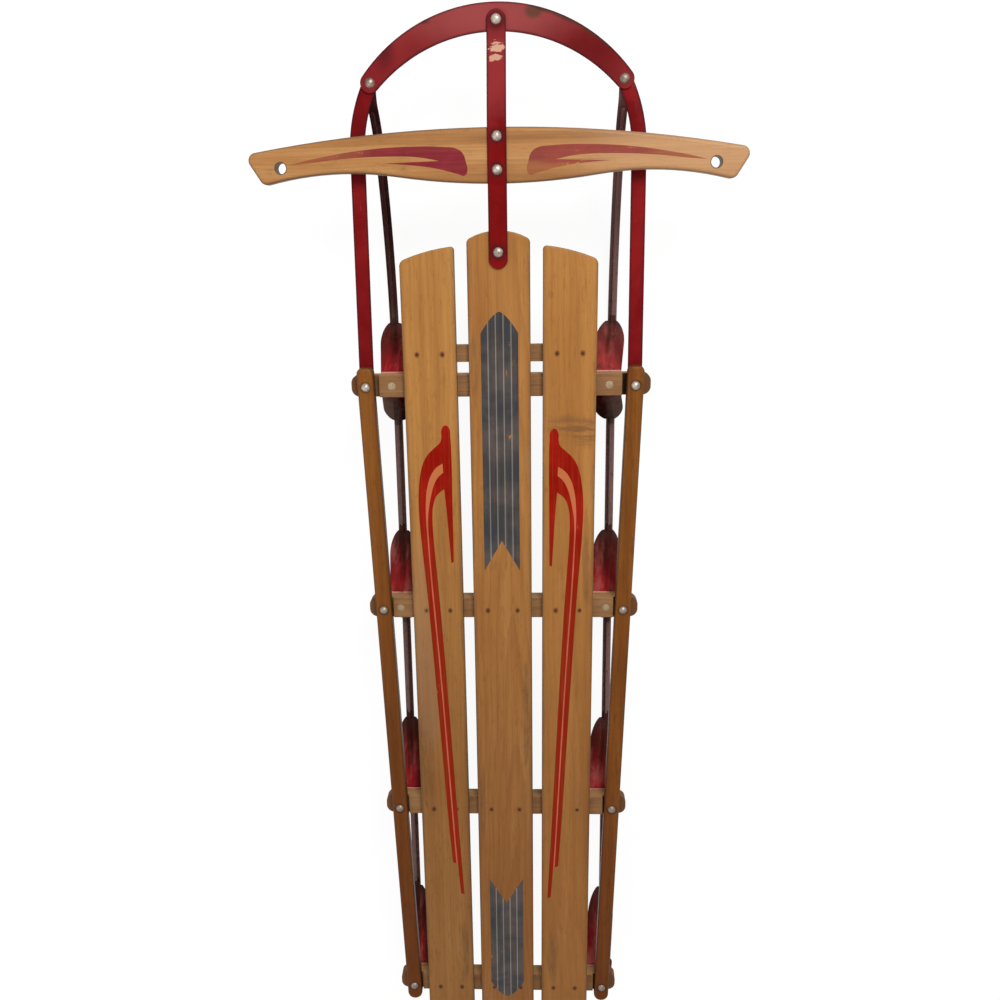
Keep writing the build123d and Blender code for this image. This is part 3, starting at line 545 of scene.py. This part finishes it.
kneeLook = {
    **darkLook, "low": (0.110, 0.019, 0.015, 1), "high": (0.310, 0.014, 0.018, 1), "rise": (44.0, 118.0),
    "chip": (0.055, 0.036, 0.026, 1), "rust": (0.085, 0.034, 0.014, 1), "rough": 0.58, "shine": 0.0,
    "topX": 143.5, "footX": 159.3, "topZ": 137.0,
    "mottleNoise": (62.0, (1, 0.22, 0.22), 4.0, 0.62, 0.25), "bloom": (0.460, 0.125, 0.105, 1),
    "bloomSpan": (0.44, 0.70), "bloomShare": 0.62, "lowSpan": (0.50, 0.30), "lowShare": 0.55,
    "fadedX": (-20.0, 20.0), "fadedY": (200.0, 240.0), "fadedShare": 0.22,
    "crease": (0.036, 0.009, 0.006, 1), "rightHalf": (2.0, 12.0), "rightFuzz": 8.0, "rightShare": 0.45,
    "rightFaded": 0.25,
    "creaseSpan": (5.5, 0.5), "creaseFuzz": 5.0, "creaseZ": (125.0, 70.0), "creaseShare": 0.70,
    "foot": (0.075, 0.030, 0.027, 1), "footZ": (48.0, 18.0), "footFuzz": 20.0, "footShare": 0.8,
    "back": (0.022, 0.005, 0.004, 1), "backSpan": (-6.0, 6.0), "backShare": 0.92,
    "grey": (0.150, 0.095, 0.076, 1), "greySpan": (-6.0, 8.0), "greyFuzz": 16.0, "greyShare": 0.9,
    "crest": (0.780, 0.400, 0.330, 1), "crestZ": (135.0, 136.2), "crestFront": (17.4, 16.2),
    "crestBack": (12.0, 13.0), "crestShare": 0.9,
}


def kneeShade(look, colour, place, x, y, z, cloud):  # painted light and shade by side, crease and crest
    ahead = fromBench(y)
    lean = (look["footX"] - look["topX"]) / look["topZ"]
    across = abs(x) - (look["topZ"] * mm - z) * lean - look["topX"] * mm
    middle = (abs(x) - across) * x.math("SIGN", x)
    mottle = speckle(place, *look["mottleNoise"])
    # painted highlight: glints where the mottle is light; the darker mottle after it is the paint's own tone
    bloom = ease(mottle, *look["bloomSpan"]) * look["bloomShare"]
    colour = mixColour(bloom, colour, look["bloom"])
    dull = ease(mottle, *look["lowSpan"]) * look["lowShare"]
    colour = mixColour(dull, colour, look["low"])
    litKnee = within(x, look["fadedX"]) * within(y, look["fadedY"])  # the front knee on the right: a painted highlight, and less painted shade
    colour = mixColour(litKnee * look["fadedShare"], colour, look["bloom"])
    # painted shade on the right half of each leg
    right = within(fuzzy(x, cloud, look["rightFuzz"]) - middle, look["rightHalf"])
    shaded = right * (look["rightShare"] - litKnee * look["rightFaded"])
    colour = mixColour(shaded, colour, look["crease"])
    # painted shade in the pressed crease
    pressed = within(abs(fuzzy(across, cloud, look["creaseFuzz"])), look["creaseSpan"])
    pressed = pressed * within(z, look["creaseZ"])
    colour = mixColour(pressed * look["creaseShare"], colour, look["crease"])
    # painted shade towards the feet
    foot = within(fuzzy(z, cloud, look["footFuzz"]), look["footZ"])
    colour = mixColour(foot * look["footShare"], colour, look["foot"])
    # painted shade on the legs behind the bench, with paler painted light on their outer half
    outer = within(fuzzy(across, mottle, look["greyFuzz"]), look["greySpan"])
    back = mixColour(outer * look["greyShare"], look["back"], look["grey"])
    colour = mixColour(within(ahead, look["backSpan"], look["backShare"], 0.0), colour, back)
    # painted highlight on the crest just ahead of the bench
    crest = within(z, look["crestZ"]) * within(ahead, look["crestFront"])
    crest = crest * within(ahead, look["crestBack"])
    return mixColour(crest * look["crestShare"], colour, look["crest"])


def runnerShade(look, colour, place, x, y, z, cloud):  # painted shade on the front of the left bar
    shadedFront = within(x, look["oldSide"]) * within(fuzzy(y, cloud, look["oldFuzz"]), look["oldSpan"])
    return mixColour(shadedFront * look["oldShare"], colour, look["oldTone"])


def darkEnamel(name, look, shade=None):
    finish, flow = startFinish(name)
    place, x, y, z = places(flow)
    cloud = speckle(place, *look["cloudNoise"])
    wear = speckle(place, *look["wearNoise"])
    # darker low down and redder higher up; on the knees this is painted light, brighter near the bench
    red = within(fuzzy(z, cloud, look["riseFuzz"]), look["rise"])
    colour = mixColour(red, look["low"], look["high"])
    if shade:
        colour = shade(look, colour, place, x, y, z, cloud)
    colour = mixColour(ease(wear, *look["chipSpan"]) * look["chipShare"], colour, look["chip"])
    scratch = ease(speckle(place, *look["scratchNoise"]), *look["scratchSpan"])
    colour = mixColour(scratch * look["scratchShare"], colour, look["chip"])
    rusty = ease(wear, *look["rustSpan"])
    colour = mixColour(rusty * look["rustShare"], colour, look["rust"])
    peel = speckle(place, *look["peelNoise"]) * look["peel"]
    height = cloud * look["heave"] - rusty * look["rustDip"] + peel
    rough = sway(cloud, look["roughSpread"]) + rusty * look["rustRough"] + look["rough"]
    endFinish(flow, {"Base Color": colour, "Roughness": rough, "Normal": bumpy(height, *look["bump"]),
                     "Specular IOR Level": look["shine"]})
    return finish


# Rivets

rivetLook = {
    "tarnishNoise": (120.0, (1, 1, 1), 4.0, 0.65, 0.5), "pitNoise": (900.0, (1, 1, 1), 2.0, 0.6),
    "tarnishSpan": (0.40, 0.70), "dullSpan": (280.0, -150.0), "dullShare": 0.80, "bump": (0.06, 0.2),
    "bright": (0.44, 0.39, 0.33, 1), "dull": (0.175, 0.132, 0.100, 1),
    "metal": 0.9, "rough": 0.30, "roughMore": 0.30, "shine": 0.3,
}
endRivetLook = {**rivetLook, "bright": (0.31, 0.25, 0.21, 1), "dull": (0.12, 0.085, 0.065, 1)}
kneeRivetLook = {
    **rivetLook, "bright": (0.43, 0.33, 0.20, 1), "dull": (0.31, 0.205, 0.115, 1),
    "metal": 0.1, "rough": 0.55,
}


def rivetPlate(name, look):  # plated steel, duller towards the rear
    finish, flow = startFinish(name)
    place, _, y, _ = places(flow)
    tarnish = speckle(place, *look["tarnishNoise"])
    pits = speckle(place, *look["pitNoise"])
    colour = mixColour(ease(tarnish, *look["tarnishSpan"]), look["bright"], look["dull"])
    colour = mixColour(within(y, look["dullSpan"]) * look["dullShare"], colour, look["dull"])
    rough = tarnish * look["roughMore"] + look["rough"]
    endFinish(flow, {"Base Color": colour, "Metallic": look["metal"], "Roughness": rough,
                     "Normal": bumpy(pits, *look["bump"]), "Specular IOR Level": look["shine"]})
    return finish


finishes = {
    "slatCentre": deckFinish("deck_wood_centre", slatLooks["centre"]),
    "slatLeft": deckFinish("deck_wood_left", slatLooks["left"]),
    "slatRight": deckFinish("deck_wood_right", slatLooks["right"]),
    "rail": plainWood("rail_wood", railLook, railMarksAndShade),
    "bench": plainWood("bench_wood", benchLook, benchMarksAndShade),
    "handle": plainWood("handle_wood", handleLook, handleMarksAndShade),
    "strap": redEnamel("strap_enamel", strapLook, strapRim),
    "bumper": redEnamel("bumper_enamel", bumperLook, bumperRim, rubbedEdge),
    "strip": redEnamel("strip_enamel", stripLook, stripRim),
    "knee": darkEnamel("knee_enamel", kneeLook, kneeShade),
    "runner": darkEnamel("runner_enamel", runnerLook, runnerShade),
    "footRivet": darkEnamel("foot_rivet_enamel", footRivetLook),
    "rivet": rivetPlate("rivet_plate", rivetLook),
    "endRivet": rivetPlate("end_rivet_plate", endRivetLook),
    "kneeRivet": rivetPlate("knee_rivet_plate", kneeRivetLook),
}
finishByStart = [  # the first start that fits a node's name gives its finish
    ("slat_centre", "slatCentre"), ("slat_left", "slatLeft"), ("slat_right", "slatRight"),
    ("rail_rivets", "rivet"), ("knee_rivets", "kneeRivet"), ("pivot_rivet", "rivet"),
    ("handle_rivets", "rivet"), ("bumper_pin", "rivet"), ("bumper_end", "endRivet"),
    ("bumper", "bumper"), ("rail_", "rail"),
    ("bench_", "bench"), ("front_cleat", "bench"), ("steering_handle", "handle"), ("steering_strap", "strap"),
    ("side_strip", "strip"), ("knee_", "knee"), ("runner_", "runner"),
]
for nodeName, node in nodes.items():
    finishName = next(finish for start, finish in finishByStart if nodeName.startswith(start))
    for slotPlace in node.material_slots:
        slotPlace.material = finishes[finishName]
print("finishes:", len(finishes))


# Pieces

def newPiece(name, mesh, finish):
    piece = bpy.data.objects.new(name, mesh)
    bpy.context.scene.collection.objects.link(piece)
    mesh.materials.clear()
    mesh.materials.append(finish)
    return piece


def pieceFrom(name, bm, finish):
    mesh = bpy.data.meshes.new(name)
    bm.to_mesh(mesh)
    bm.free()
    return newPiece(name, mesh, finish)


def sharpen(bm, angle):  # smooth faces, with a crease at every real corner
    for face in bm.faces:
        face.smooth = True
    for edge in bm.edges:
        edge.smooth = len(edge.link_faces) == 2 and edge.calc_face_angle() < math.radians(angle)


def roundEdges(bm, edges, width, clamp=False):  # width in mm
    bmesh.ops.bevel(bm, geom=edges, offset=width * mm, offset_type="OFFSET", segments=2, profile=0.5,
                    affect="EDGES", material=-1, clamp_overlap=clamp)


# Runners and side strips, cut into slices between the frame and the bumper, where they bend when the bar is
# turned

flexLook = {  # start, end and step are in metres along Y, and soften is in mm
    "runner": {"start": 0.395, "end": 0.672, "step": 0.012, "slot": "dark_steel", "soften": 0.45},
    "side_strip": {"start": 0.345, "end": 0.672, "step": 0.012, "slot": "red_steel", "soften": 0.6},
    "flat": 0.4, "corner": 45.0, "crease": 32.0, "weld": 1e-6,
}


def softEdges(bm, width):  # worn outer corners of a plate
    bmesh.ops.dissolve_limit(bm, angle_limit=math.radians(flexLook["flat"]), verts=bm.verts, edges=bm.edges)
    outer = [edge for edge in bm.edges if len(edge.link_faces) == 2 and edge.is_convex]
    corners = [edge for edge in outer if edge.calc_face_angle() > math.radians(flexLook["corner"])]
    roundEdges(bm, corners, width, True)


def flexPiece(nodeName, look, finish):
    bm = bmesh.new()
    bm.from_mesh(nodes[nodeName].data)
    bmesh.ops.remove_doubles(bm, verts=bm.verts, dist=flexLook["weld"])
    softEdges(bm, look["soften"])
    cut = look["start"] - look["step"]
    while cut < look["end"] + 2 * look["step"]:
        bmesh.ops.bisect_plane(bm, geom=bm.verts[:] + bm.edges[:] + bm.faces[:], dist=flexLook["weld"],
                               plane_co=(0, cut, 0), plane_no=(0, 1, 0))
        cut += look["step"]
    sharpen(bm, flexLook["crease"])
    piece = pieceFrom(nodeName + "_bent", bm, finish)
    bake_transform(piece)
    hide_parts(nodeName)


for sideName in ("left", "right"):
    flexPiece("runner_" + sideName, flexLook["runner"], finishes["runner"])
    flexPiece("side_strip_" + sideName, flexLook["side_strip"], finishes["strip"])


# Painted stripes, panels and flashes: thin films on the wood. A third value of 1 in a point makes a corner

filmLook = {"sink": 0.06, "thick": 0.16, "lineThick": 0.12, "steps": 6, "weld": 1e-6}
paintLook = {
    "scuffScale": 120.0, "scuffDrawn": 0.3, "scuffDetail": (5.0, 0.72, 0.4), "wearAt": 0.66, "wearFade": 0.06,
    "thinNoise": (20.0, (1, 1, 1), 3.0, 0.6, 0.3), "thin": 0.0, "brightSpan": (0.35, 0.70), "wearFuzz": 0.25,
    "fibreSpan": (0.45, 0.75), "fibreShare": 0.14, "wornShare": 0.9, "wornRough": 0.15, "bump": (0.10, 0.5),
    "shine": 0.12, "rough": 0.42,
}


def paintFilm(name, outlines, top, thick, finish, body, mirrored=False, shift=(0, 0)):
    curve = bpy.data.curves.new(name, "CURVE")
    curve.dimensions = "2D"
    curve.fill_mode = "BOTH"
    curve.resolution_u = filmLook["steps"]
    for outline in outlines:
        spline = curve.splines.new("BEZIER")
        spline.bezier_points.add(len(outline) - 1)
        for point, (x, y, *corner) in zip(spline.bezier_points, outline):
            point.co = (x, y, 0)
            point.handle_left_type = point.handle_right_type = "VECTOR" if corner else "AUTO"
        spline.use_cyclic_u = True
    drawn = bpy.data.objects.new(name + "_outline", curve)
    bpy.context.scene.collection.objects.link(drawn)
    bpy.context.view_layer.update()
    mesh = bpy.data.meshes.new_from_object(drawn.evaluated_get(bpy.context.evaluated_depsgraph_get()))
    bpy.data.objects.remove(drawn)
    flip = Matrix.Diagonal((-mm if mirrored else mm, mm, mm, 1))
    level = (top - filmLook["sink"]) * mm
    mesh.transform(Matrix.Translation((shift[0] * mm, shift[1] * mm, level)) @ flip)
    bm = bmesh.new()
    bm.from_mesh(mesh)
    bmesh.ops.remove_doubles(bm, verts=bm.verts, dist=filmLook["weld"])
    bmesh.ops.recalc_face_normals(bm, faces=bm.faces)
    if sum(face.normal.z for face in bm.faces) < 0:
        bmesh.ops.reverse_faces(bm, faces=bm.faces)
    bmesh.ops.solidify(bm, geom=bm.faces[:], thickness=-thick * mm)
    bmesh.ops.recalc_face_normals(bm, faces=bm.faces)
    bm.to_mesh(mesh)
    bm.free()
    mesh.name = name
    piece = newPiece(name, mesh, finish)
    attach(piece, body)


def paintFinish(name, paint, look):
    finish, flow = startFinish(name)
    grain = woodColour(flow, look)
    drawn = paint["scuffDrawn"]
    stretch = (drawn, 1.0, 1.0) if look["alongX"] else (1.0, drawn, 1.0)
    scuff = speckle(grain["place"], paint["scuffScale"], stretch, *paint["scuffDetail"])
    thinned = speckle(grain["place"], *paint["thinNoise"])
    shade = mixColour(ease(thinned, *paint["brightSpan"]), paint["deep"], paint["bright"])
    if "turn" in paint:  # the paint changes tone along the sled
        shade = mixColour(within(grain["y"], paint["turn"]), shade, paint["other"])
    wornFrom = paint["wearAt"]
    worn = ease(scuff + sway(thinned, paint["wearFuzz"]), wornFrom, wornFrom + paint["wearFade"])
    fibre = ease(grain["fibre"], *paint["fibreSpan"]) * paint["fibreShare"]
    share = larger(worn, fibre + paint["thin"])
    if "tip" in paint:  # thinner towards the tip, and on one side towards the rear
        tip = within(fuzzy(abs(grain["x"]), thinned, paint["tipFuzz"]), paint["tip"])
        low = within(fuzzy(grain["y"], thinned, paint["lowFuzz"]), paint["low"])
        bare = larger(tip * paint["tipShare"], low * paint["lowShare"])
        share = larger(share, bare)
    colour = mixColour(share * paint["wornShare"], shade, grain["colour"])
    endFinish(flow, {"Base Color": colour, "Roughness": worn * paint["wornRough"] + paint["rough"],
                     "Normal": bumpy(grain["height"] - worn, *paint["bump"]),
                     "Specular IOR Level": paint["shine"]})
    return finish


stripeLook = {
    "paint": {**paintLook, "deep": (0.250, 0.005, 0.002, 1), "bright": (0.330, 0.009, 0.004, 1),
              "wearAt": 0.68, "shine": 0.03, "turn": (190, -60), "other": (0.235, 0.016, 0.004, 1)},
    "line": {**paintLook, "deep": (0.510, 0.084, 0.052, 1), "bright": (0.600, 0.125, 0.080, 1),
             "shine": 0.05, "turn": (80, 180), "other": (0.495, 0.150, 0.052, 1)},
    "shift": {"left": (0, 0), "right": (-2.0, -5.5)},
    # head, spike, inner stripe down and up, slit, outer stripe down and up; x is outwards from the middle
    "outline": [
        (75.2, 256.0), (69.8, 252.0), (68.4, 240), (67.6, 206), (67.8, 155), (68.0, 103), (68.2, 61, 1),
        (71.6, 59.5, 1), (73.6, 94), (76.4, 138), (78.8, 167, 1), (89.0, 158.0), (94.2, 145),
        (96.2, 128), (95.8, 100), (93.8, 66), (91.0, 26), (84.5, -88), (78.3, -216), (71.8, -350),
        (65.0, -481, 1), (70.2, -479, 1), (74.4, -419), (78.2, -350), (84.8, -216), (91.7, -88),
        (98.9, 30), (101.9, 90), (102.2, 127), (100.2, 142), (97.0, 158), (92.6, 173.0), (86.8, 183.6),
        (79.4, 190.2, 1), (80.0, 203.0, 1), (88.8, 197.2), (96.6, 186.0), (102.2, 168.5), (104.8, 146),
        (105.2, 126), (103.9, 90), (101.0, 30), (93.6, -88), (86.8, -216), (80.2, -350), (76.2, -426, 1),
        (81.4, -424, 1), (86.6, -345), (93.6, -216), (100.8, -88), (107.6, 26), (111.2, 72),
        (113.8, 112), (114.8, 146), (112.8, 176), (107.6, 201), (100.3, 215), (89.7, 225.6),
        (82.6, 232.5), (80.6, 239), (80.2, 250),
    ],
    # the pale line that fills the slit
    "lineOutline": [
        (79.6, 203.5, 1), (89.1, 197.8), (97.0, 186.6), (102.7, 169.0), (105.3, 146), (105.6, 125),
        (104.2, 90), (101.4, 30), (94.0, -88), (87.2, -216), (80.6, -350), (76.6, -426, 1),
        (74.2, -426, 1), (77.8, -350), (84.4, -216), (91.3, -88), (98.5, 30), (101.5, 90), (101.8, 126),
        (99.8, 141.6), (96.6, 157.6), (92.2, 172.4), (86.5, 182.9), (79.0, 189.6, 1),
    ],
}


def paintStripe(sideName):
    look = slatLooks[sideName]
    mirrored = look["side"] < 0
    shift = stripeLook["shift"][sideName]
    red = paintFinish("stripe_paint_" + sideName, stripeLook["paint"], look)
    pale = paintFinish("stripe_line_paint_" + sideName, stripeLook["line"], look)
    paintFilm("stripe_" + sideName, [stripeLook["outline"]], plan["deckTop"], filmLook["thick"],
              red, "frame", mirrored, shift)
    paintFilm("stripe_line_" + sideName, [stripeLook["lineOutline"]], plan["deckTop"], filmLook["lineThick"],
              pale, "frame", mirrored, shift)


panelLook = {  # each end is its y in the middle, its y at the side and how it bows between them
    "blue": {**paintLook, "deep": (0.034, 0.037, 0.041, 1), "bright": (0.080, 0.066, 0.062, 1)},
    "pale": {**paintLook, "deep": (0.165, 0.150, 0.134, 1), "bright": (0.235, 0.212, 0.182, 1),
             "wearAt": 0.64},
    "bars": 5, "gap": 1.6, "steps": 4,
    "front": {"half": 24.9, "top": (407, 379, 1.5), "foot": (92, 48, 1.0)},
    "rear": {"half": 25.6, "top": (-496, -453, 1.0), "foot": (-668, -641, 1.7)},
}


def panelEnd(look, end, x):  # where the bars end at this distance from the middle
    middle, side, bow = look[end]
    share = min(abs(x) / look["half"], 1.0)
    return (x, middle + (side - middle) * share ** bow, 1)


def paintPanel(panelName, barPaint, linePaint):
    look = panelLook[panelName]
    gap = panelLook["gap"]
    steps = panelLook["steps"]
    barPitch = (2 * look["half"] + gap) / panelLook["bars"]
    bars = []
    lines = []
    for bar in range(panelLook["bars"]):
        low = -look["half"] + bar * barPitch
        wide = barPitch - gap
        across = [low + wide * step / steps for step in range(steps + 1)]
        bars.append([panelEnd(look, "top", x) for x in across]
                    + [panelEnd(look, "foot", x) for x in reversed(across)])
        if bar:
            top = panelEnd(look, "top", low - gap / 2)[1]
            foot = panelEnd(look, "foot", low - gap / 2)[1]
            lines.append([(low - gap, top, 1), (low, top, 1), (low, foot, 1), (low - gap, foot, 1)])
    paintFilm("panel_" + panelName, bars, plan["deckTop"], filmLook["thick"], barPaint, "frame")
    paintFilm("panel_lines_" + panelName, lines, plan["deckTop"], filmLook["lineThick"],
              linePaint, "frame")


flashLook = {
    "handleTop": 170.25,
    "paint": {**paintLook, "deep": (0.190, 0.013, 0.022, 1), "bright": (0.260, 0.022, 0.032, 1),
              "tip": (120, 250), "tipFuzz": 60.0, "tipShare": 0.50, "low": (601, 585), "lowFuzz": 14.0},
    "left": {"wearAt": 0.64, "lowShare": 0.0},
    "right": {"wearAt": 0.60, "thin": 0.16, "lowShare": 0.62},
    "outline": [
        (264.7, 593.1, 1), (241.9, 598.6), (218.2, 603.0), (169.0, 610.0), (107.5, 613.3), (70, 612.4),
        (50.0, 609.6), (43.0, 604.0), (39.6, 594.4), (37.8, 583.0), (41.4, 577.6), (49.3, 579.5),
        (76.7, 586.5), (118.9, 591.9), (144.3, 593.5, 1), (110.0, 594.6), (73.0, 595.6, 1),
        (97.4, 600.2), (139.7, 601.9), (197.1, 599.7), (242.1, 595.0),
    ],
}


def paintFlash(sideName):
    paint = paintFinish("flash_paint_" + sideName, {**flashLook["paint"], **flashLook[sideName]}, handleLook)
    paintFilm("flash_" + sideName, [flashLook["outline"]], flashLook["handleTop"], filmLook["thick"],
              paint, "steering", sideName == "left")


for sideName in ("left", "right"):
    paintStripe(sideName)
bluePaint = paintFinish("panel_paint", panelLook["blue"], slatLooks["centre"])
palePaint = paintFinish("panel_line_paint", panelLook["pale"], slatLooks["centre"])
for panelName in ("front", "rear"):
    paintPanel(panelName, bluePaint, palePaint)
for sideName in ("left", "right"):
    paintFlash(sideName)
print("painted stripes, panels and flashes laid on the wood")


# Nails through the slats, into the cleat and every bench but the first

nailLook = {
    "headR": 2.7, "topShare": 0.55, "headRise": 0.35, "sunk": 0.1, "round": 0.5, "sides": 14, "crease": 50.0,
    "toneNoise": (700.0, (1, 1, 1), 3.0, 0.6), "rustSpan": (0.35, 0.65), "bump": (0.2, 0.3),
    "dark": (0.030, 0.011, 0.006, 1), "rust": (0.080, 0.026, 0.010, 1), "metal": 0.1, "rough": 0.5,
    "roughMore": 0.3, "shine": 0.12,
}


def nailFinish(look):
    finish, flow = startFinish("nail_iron")
    tone = speckle(places(flow)[0], *look["toneNoise"])
    colour = mixColour(ease(tone, *look["rustSpan"]), look["dark"], look["rust"])
    rough = tone * look["roughMore"] + look["rough"]
    endFinish(flow, {"Base Color": colour, "Metallic": look["metal"], "Roughness": rough,
                     "Normal": bumpy(tone, *look["bump"]), "Specular IOR Level": look["shine"]})
    return finish


def nailHead(bm, look, x, y):
    at = Matrix.Translation((x * mm, y * mm, (plan["deckTop"] - look["sunk"]) * mm))
    made = bmesh.ops.create_cone(bm, cap_ends=True, segments=look["sides"], radius1=look["headR"] * mm,
                                 radius2=look["headR"] * look["topShare"] * mm,
                                 depth=look["headRise"] * mm, matrix=at)
    raised = {point for point in made["verts"] if point.co.z > plan["deckTop"] * mm}
    rim = [edge for edge in bm.edges if raised.issuperset(edge.verts)]
    roundEdges(bm, rim, look["round"])


def deckNails(look):
    bm = bmesh.new()
    for rowY in [plan["cleatY"]] + benchRows[1:]:
        slatX = plan["slatX"] + plan["slatSpread"] / benchRun * (rowY - plan["benchFront"])
        for slatName in ("left", "centre", "right"):
            slat = slatLooks[slatName]
            for sign in (-1, 1):
                nailHead(bm, look, slat["side"] * slatX + sign * slat["nailOffset"], rowY)
    sharpen(bm, look["crease"])
    piece = pieceFrom("deck_nails", bm, nailFinish(look))
    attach(piece, "frame")


deckNails(nailLook)


# Rivets through the feet of the knees

footLook = {
    "ahead": 65.0, "reach": 16.0, "x": 161.3, "out": 3.8, "up": 6.1, "headR": 4.0, "headRise": 1.7,
    "around": 16, "rings": 10, "crease": 60.0,
}


def footRivets(look):
    bm = bmesh.new()
    reach = look["reach"] * mm
    squash = Matrix.Diagonal((look["headRise"] * mm, look["headR"] * mm, look["headR"] * mm, 1))
    for sideName, side in (("left", -1), ("right", 1)):
        for number, benchY in enumerate(benchRows, 1):
            knee = nodes[f"knee_{sideName}_{number}"].data
            for footY in ((benchY + look["ahead"]) * mm, (benchY - look["ahead"]) * mm):
                heights = [point.co.z for point in knee.vertices if abs(point.co.y - footY) < reach]
                height = min(heights) + look["up"] * mm
                for face in (-1, 1):
                    seat = ((side * look["x"] + face * look["out"]) * mm, footY, height)
                    bmesh.ops.create_uvsphere(bm, u_segments=look["around"], v_segments=look["rings"],
                                              radius=1.0, matrix=Matrix.Translation(seat) @ squash)
    sharpen(bm, look["crease"])
    piece = pieceFrom("foot_rivets", bm, finishes["footRivet"])
    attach(piece, "frame")


footRivets(footLook)
print("nails and foot rivets in place")


# Floor, light and camera, in metres

studioLook = {
    "floorSize": 16.0, "floorCuts": 4, "under": 0.0003, "fade": (1.3, 3.2), "glow": 0.915,
    "floorTone": (0.12, 0.12, 0.12, 1), "bounce": (0.80, 0.80, 0.80, 1), "white": (1, 1, 1, 1),
    "ambient": 0.50,
    "key": {"at": (0.75, 2.05, 2.55), "aim": (0.0, 0.25, 0.10), "size": 1.1, "power": 62.0},
    "fill": {"at": (-1.9, -0.6, 2.2), "aim": (0.0, 0.0, 0.10), "size": 1.8, "power": 14.0},
}
cameraLook = {"at": (0.04382, 0.5064, 1.48826), "turn": (-15.102, 1.7907, -0.7355), "lens": 35.640,
              "sensor": 36.0, "near": 0.01}


def seenShare(flow):  # 1 for what the camera, a reflection or glass looks at directly
    path = flow.node("LightPath", {}, {}, "Is Camera Ray")
    return smaller(path + path.other("Is Glossy Ray") + path.other("Is Transmission Ray"), 1.0)


def floorFinish(look):  # white where it is seen, with the sled's shadow, and pale for bounced light
    finish, flow = startFinish("floor_white")
    shaded = flow.node("BsdfDiffuse", {}, {"Color": look["floorTone"]})
    glow = flow.node("Emission", {}, {"Color": look["white"], "Strength": look["glow"]})
    white = flow.node("Emission", {}, {"Color": look["white"], "Strength": 1.0})
    bounce = flow.node("BsdfDiffuse", {}, {"Color": look["bounce"]})
    _, x, y, _ = places(flow)
    far = ease(distance(x, y), look["fade"][0], look["fade"][1])
    near = flow.node("AddShader", {}, {0: shaded, 1: glow})
    seen = flow.node("MixShader", {}, {0: far, 1: near, 2: white})
    surface = flow.node("MixShader", {}, {0: seenShare(flow), 1: bounce, 2: seen})
    flow.node("OutputMaterial", {}, {"Surface": surface})
    return finish


def layFloor(look):
    bm = bmesh.new()
    bmesh.ops.create_grid(bm, x_segments=look["floorCuts"], y_segments=look["floorCuts"],
                          size=look["floorSize"] / 2)
    bmesh.ops.translate(bm, verts=bm.verts, vec=(0, 0, -look["under"]))
    floor = pieceFrom("floor", bm, floorFinish(look))


def lightStudio(look):
    world = bpy.data.worlds.new("studio")
    bpy.context.scene.world = world
    world.use_nodes = True
    world.node_tree.nodes.clear()
    flow = Flow(world.node_tree)
    dim = flow.node("Background", {}, {"Color": look["white"], "Strength": look["ambient"]})
    white = flow.node("Background", {}, {"Color": look["white"], "Strength": 1.0})
    surface = flow.node("MixShader", {}, {0: seenShare(flow), 1: dim, 2: white})
    flow.node("OutputWorld", {}, {"Surface": surface})
    for lampName in ("key", "fill"):
        lampLook = look[lampName]
        lamp = bpy.data.lights.new(lampName, "AREA")
        lamp.size = lampLook["size"]
        lamp.energy = lampLook["power"]
        stand = bpy.data.objects.new(lampName, lamp)
        stand.location = lampLook["at"]
        aim = Vector(lampLook["aim"]) - stand.location
        stand.rotation_euler = aim.to_track_quat("-Z", "Y").to_euler()
        bpy.context.scene.collection.objects.link(stand)


def setCamera(look):
    lens = bpy.data.cameras.new("camera")
    lens.sensor_width = look["sensor"]
    lens.lens = look["lens"]
    lens.clip_start = look["near"]
    camera = bpy.data.objects.new("camera", lens)
    camera.location = look["at"]
    camera.rotation_euler = [math.radians(angle) for angle in look["turn"]]
    bpy.context.scene.collection.objects.link(camera)
    bpy.context.scene.camera = camera


layFloor(studioLook)
lightStudio(studioLook)
setCamera(cameraLook)
bpy.context.scene.view_settings.view_transform = "Standard"
print("floor, lamps and camera set")
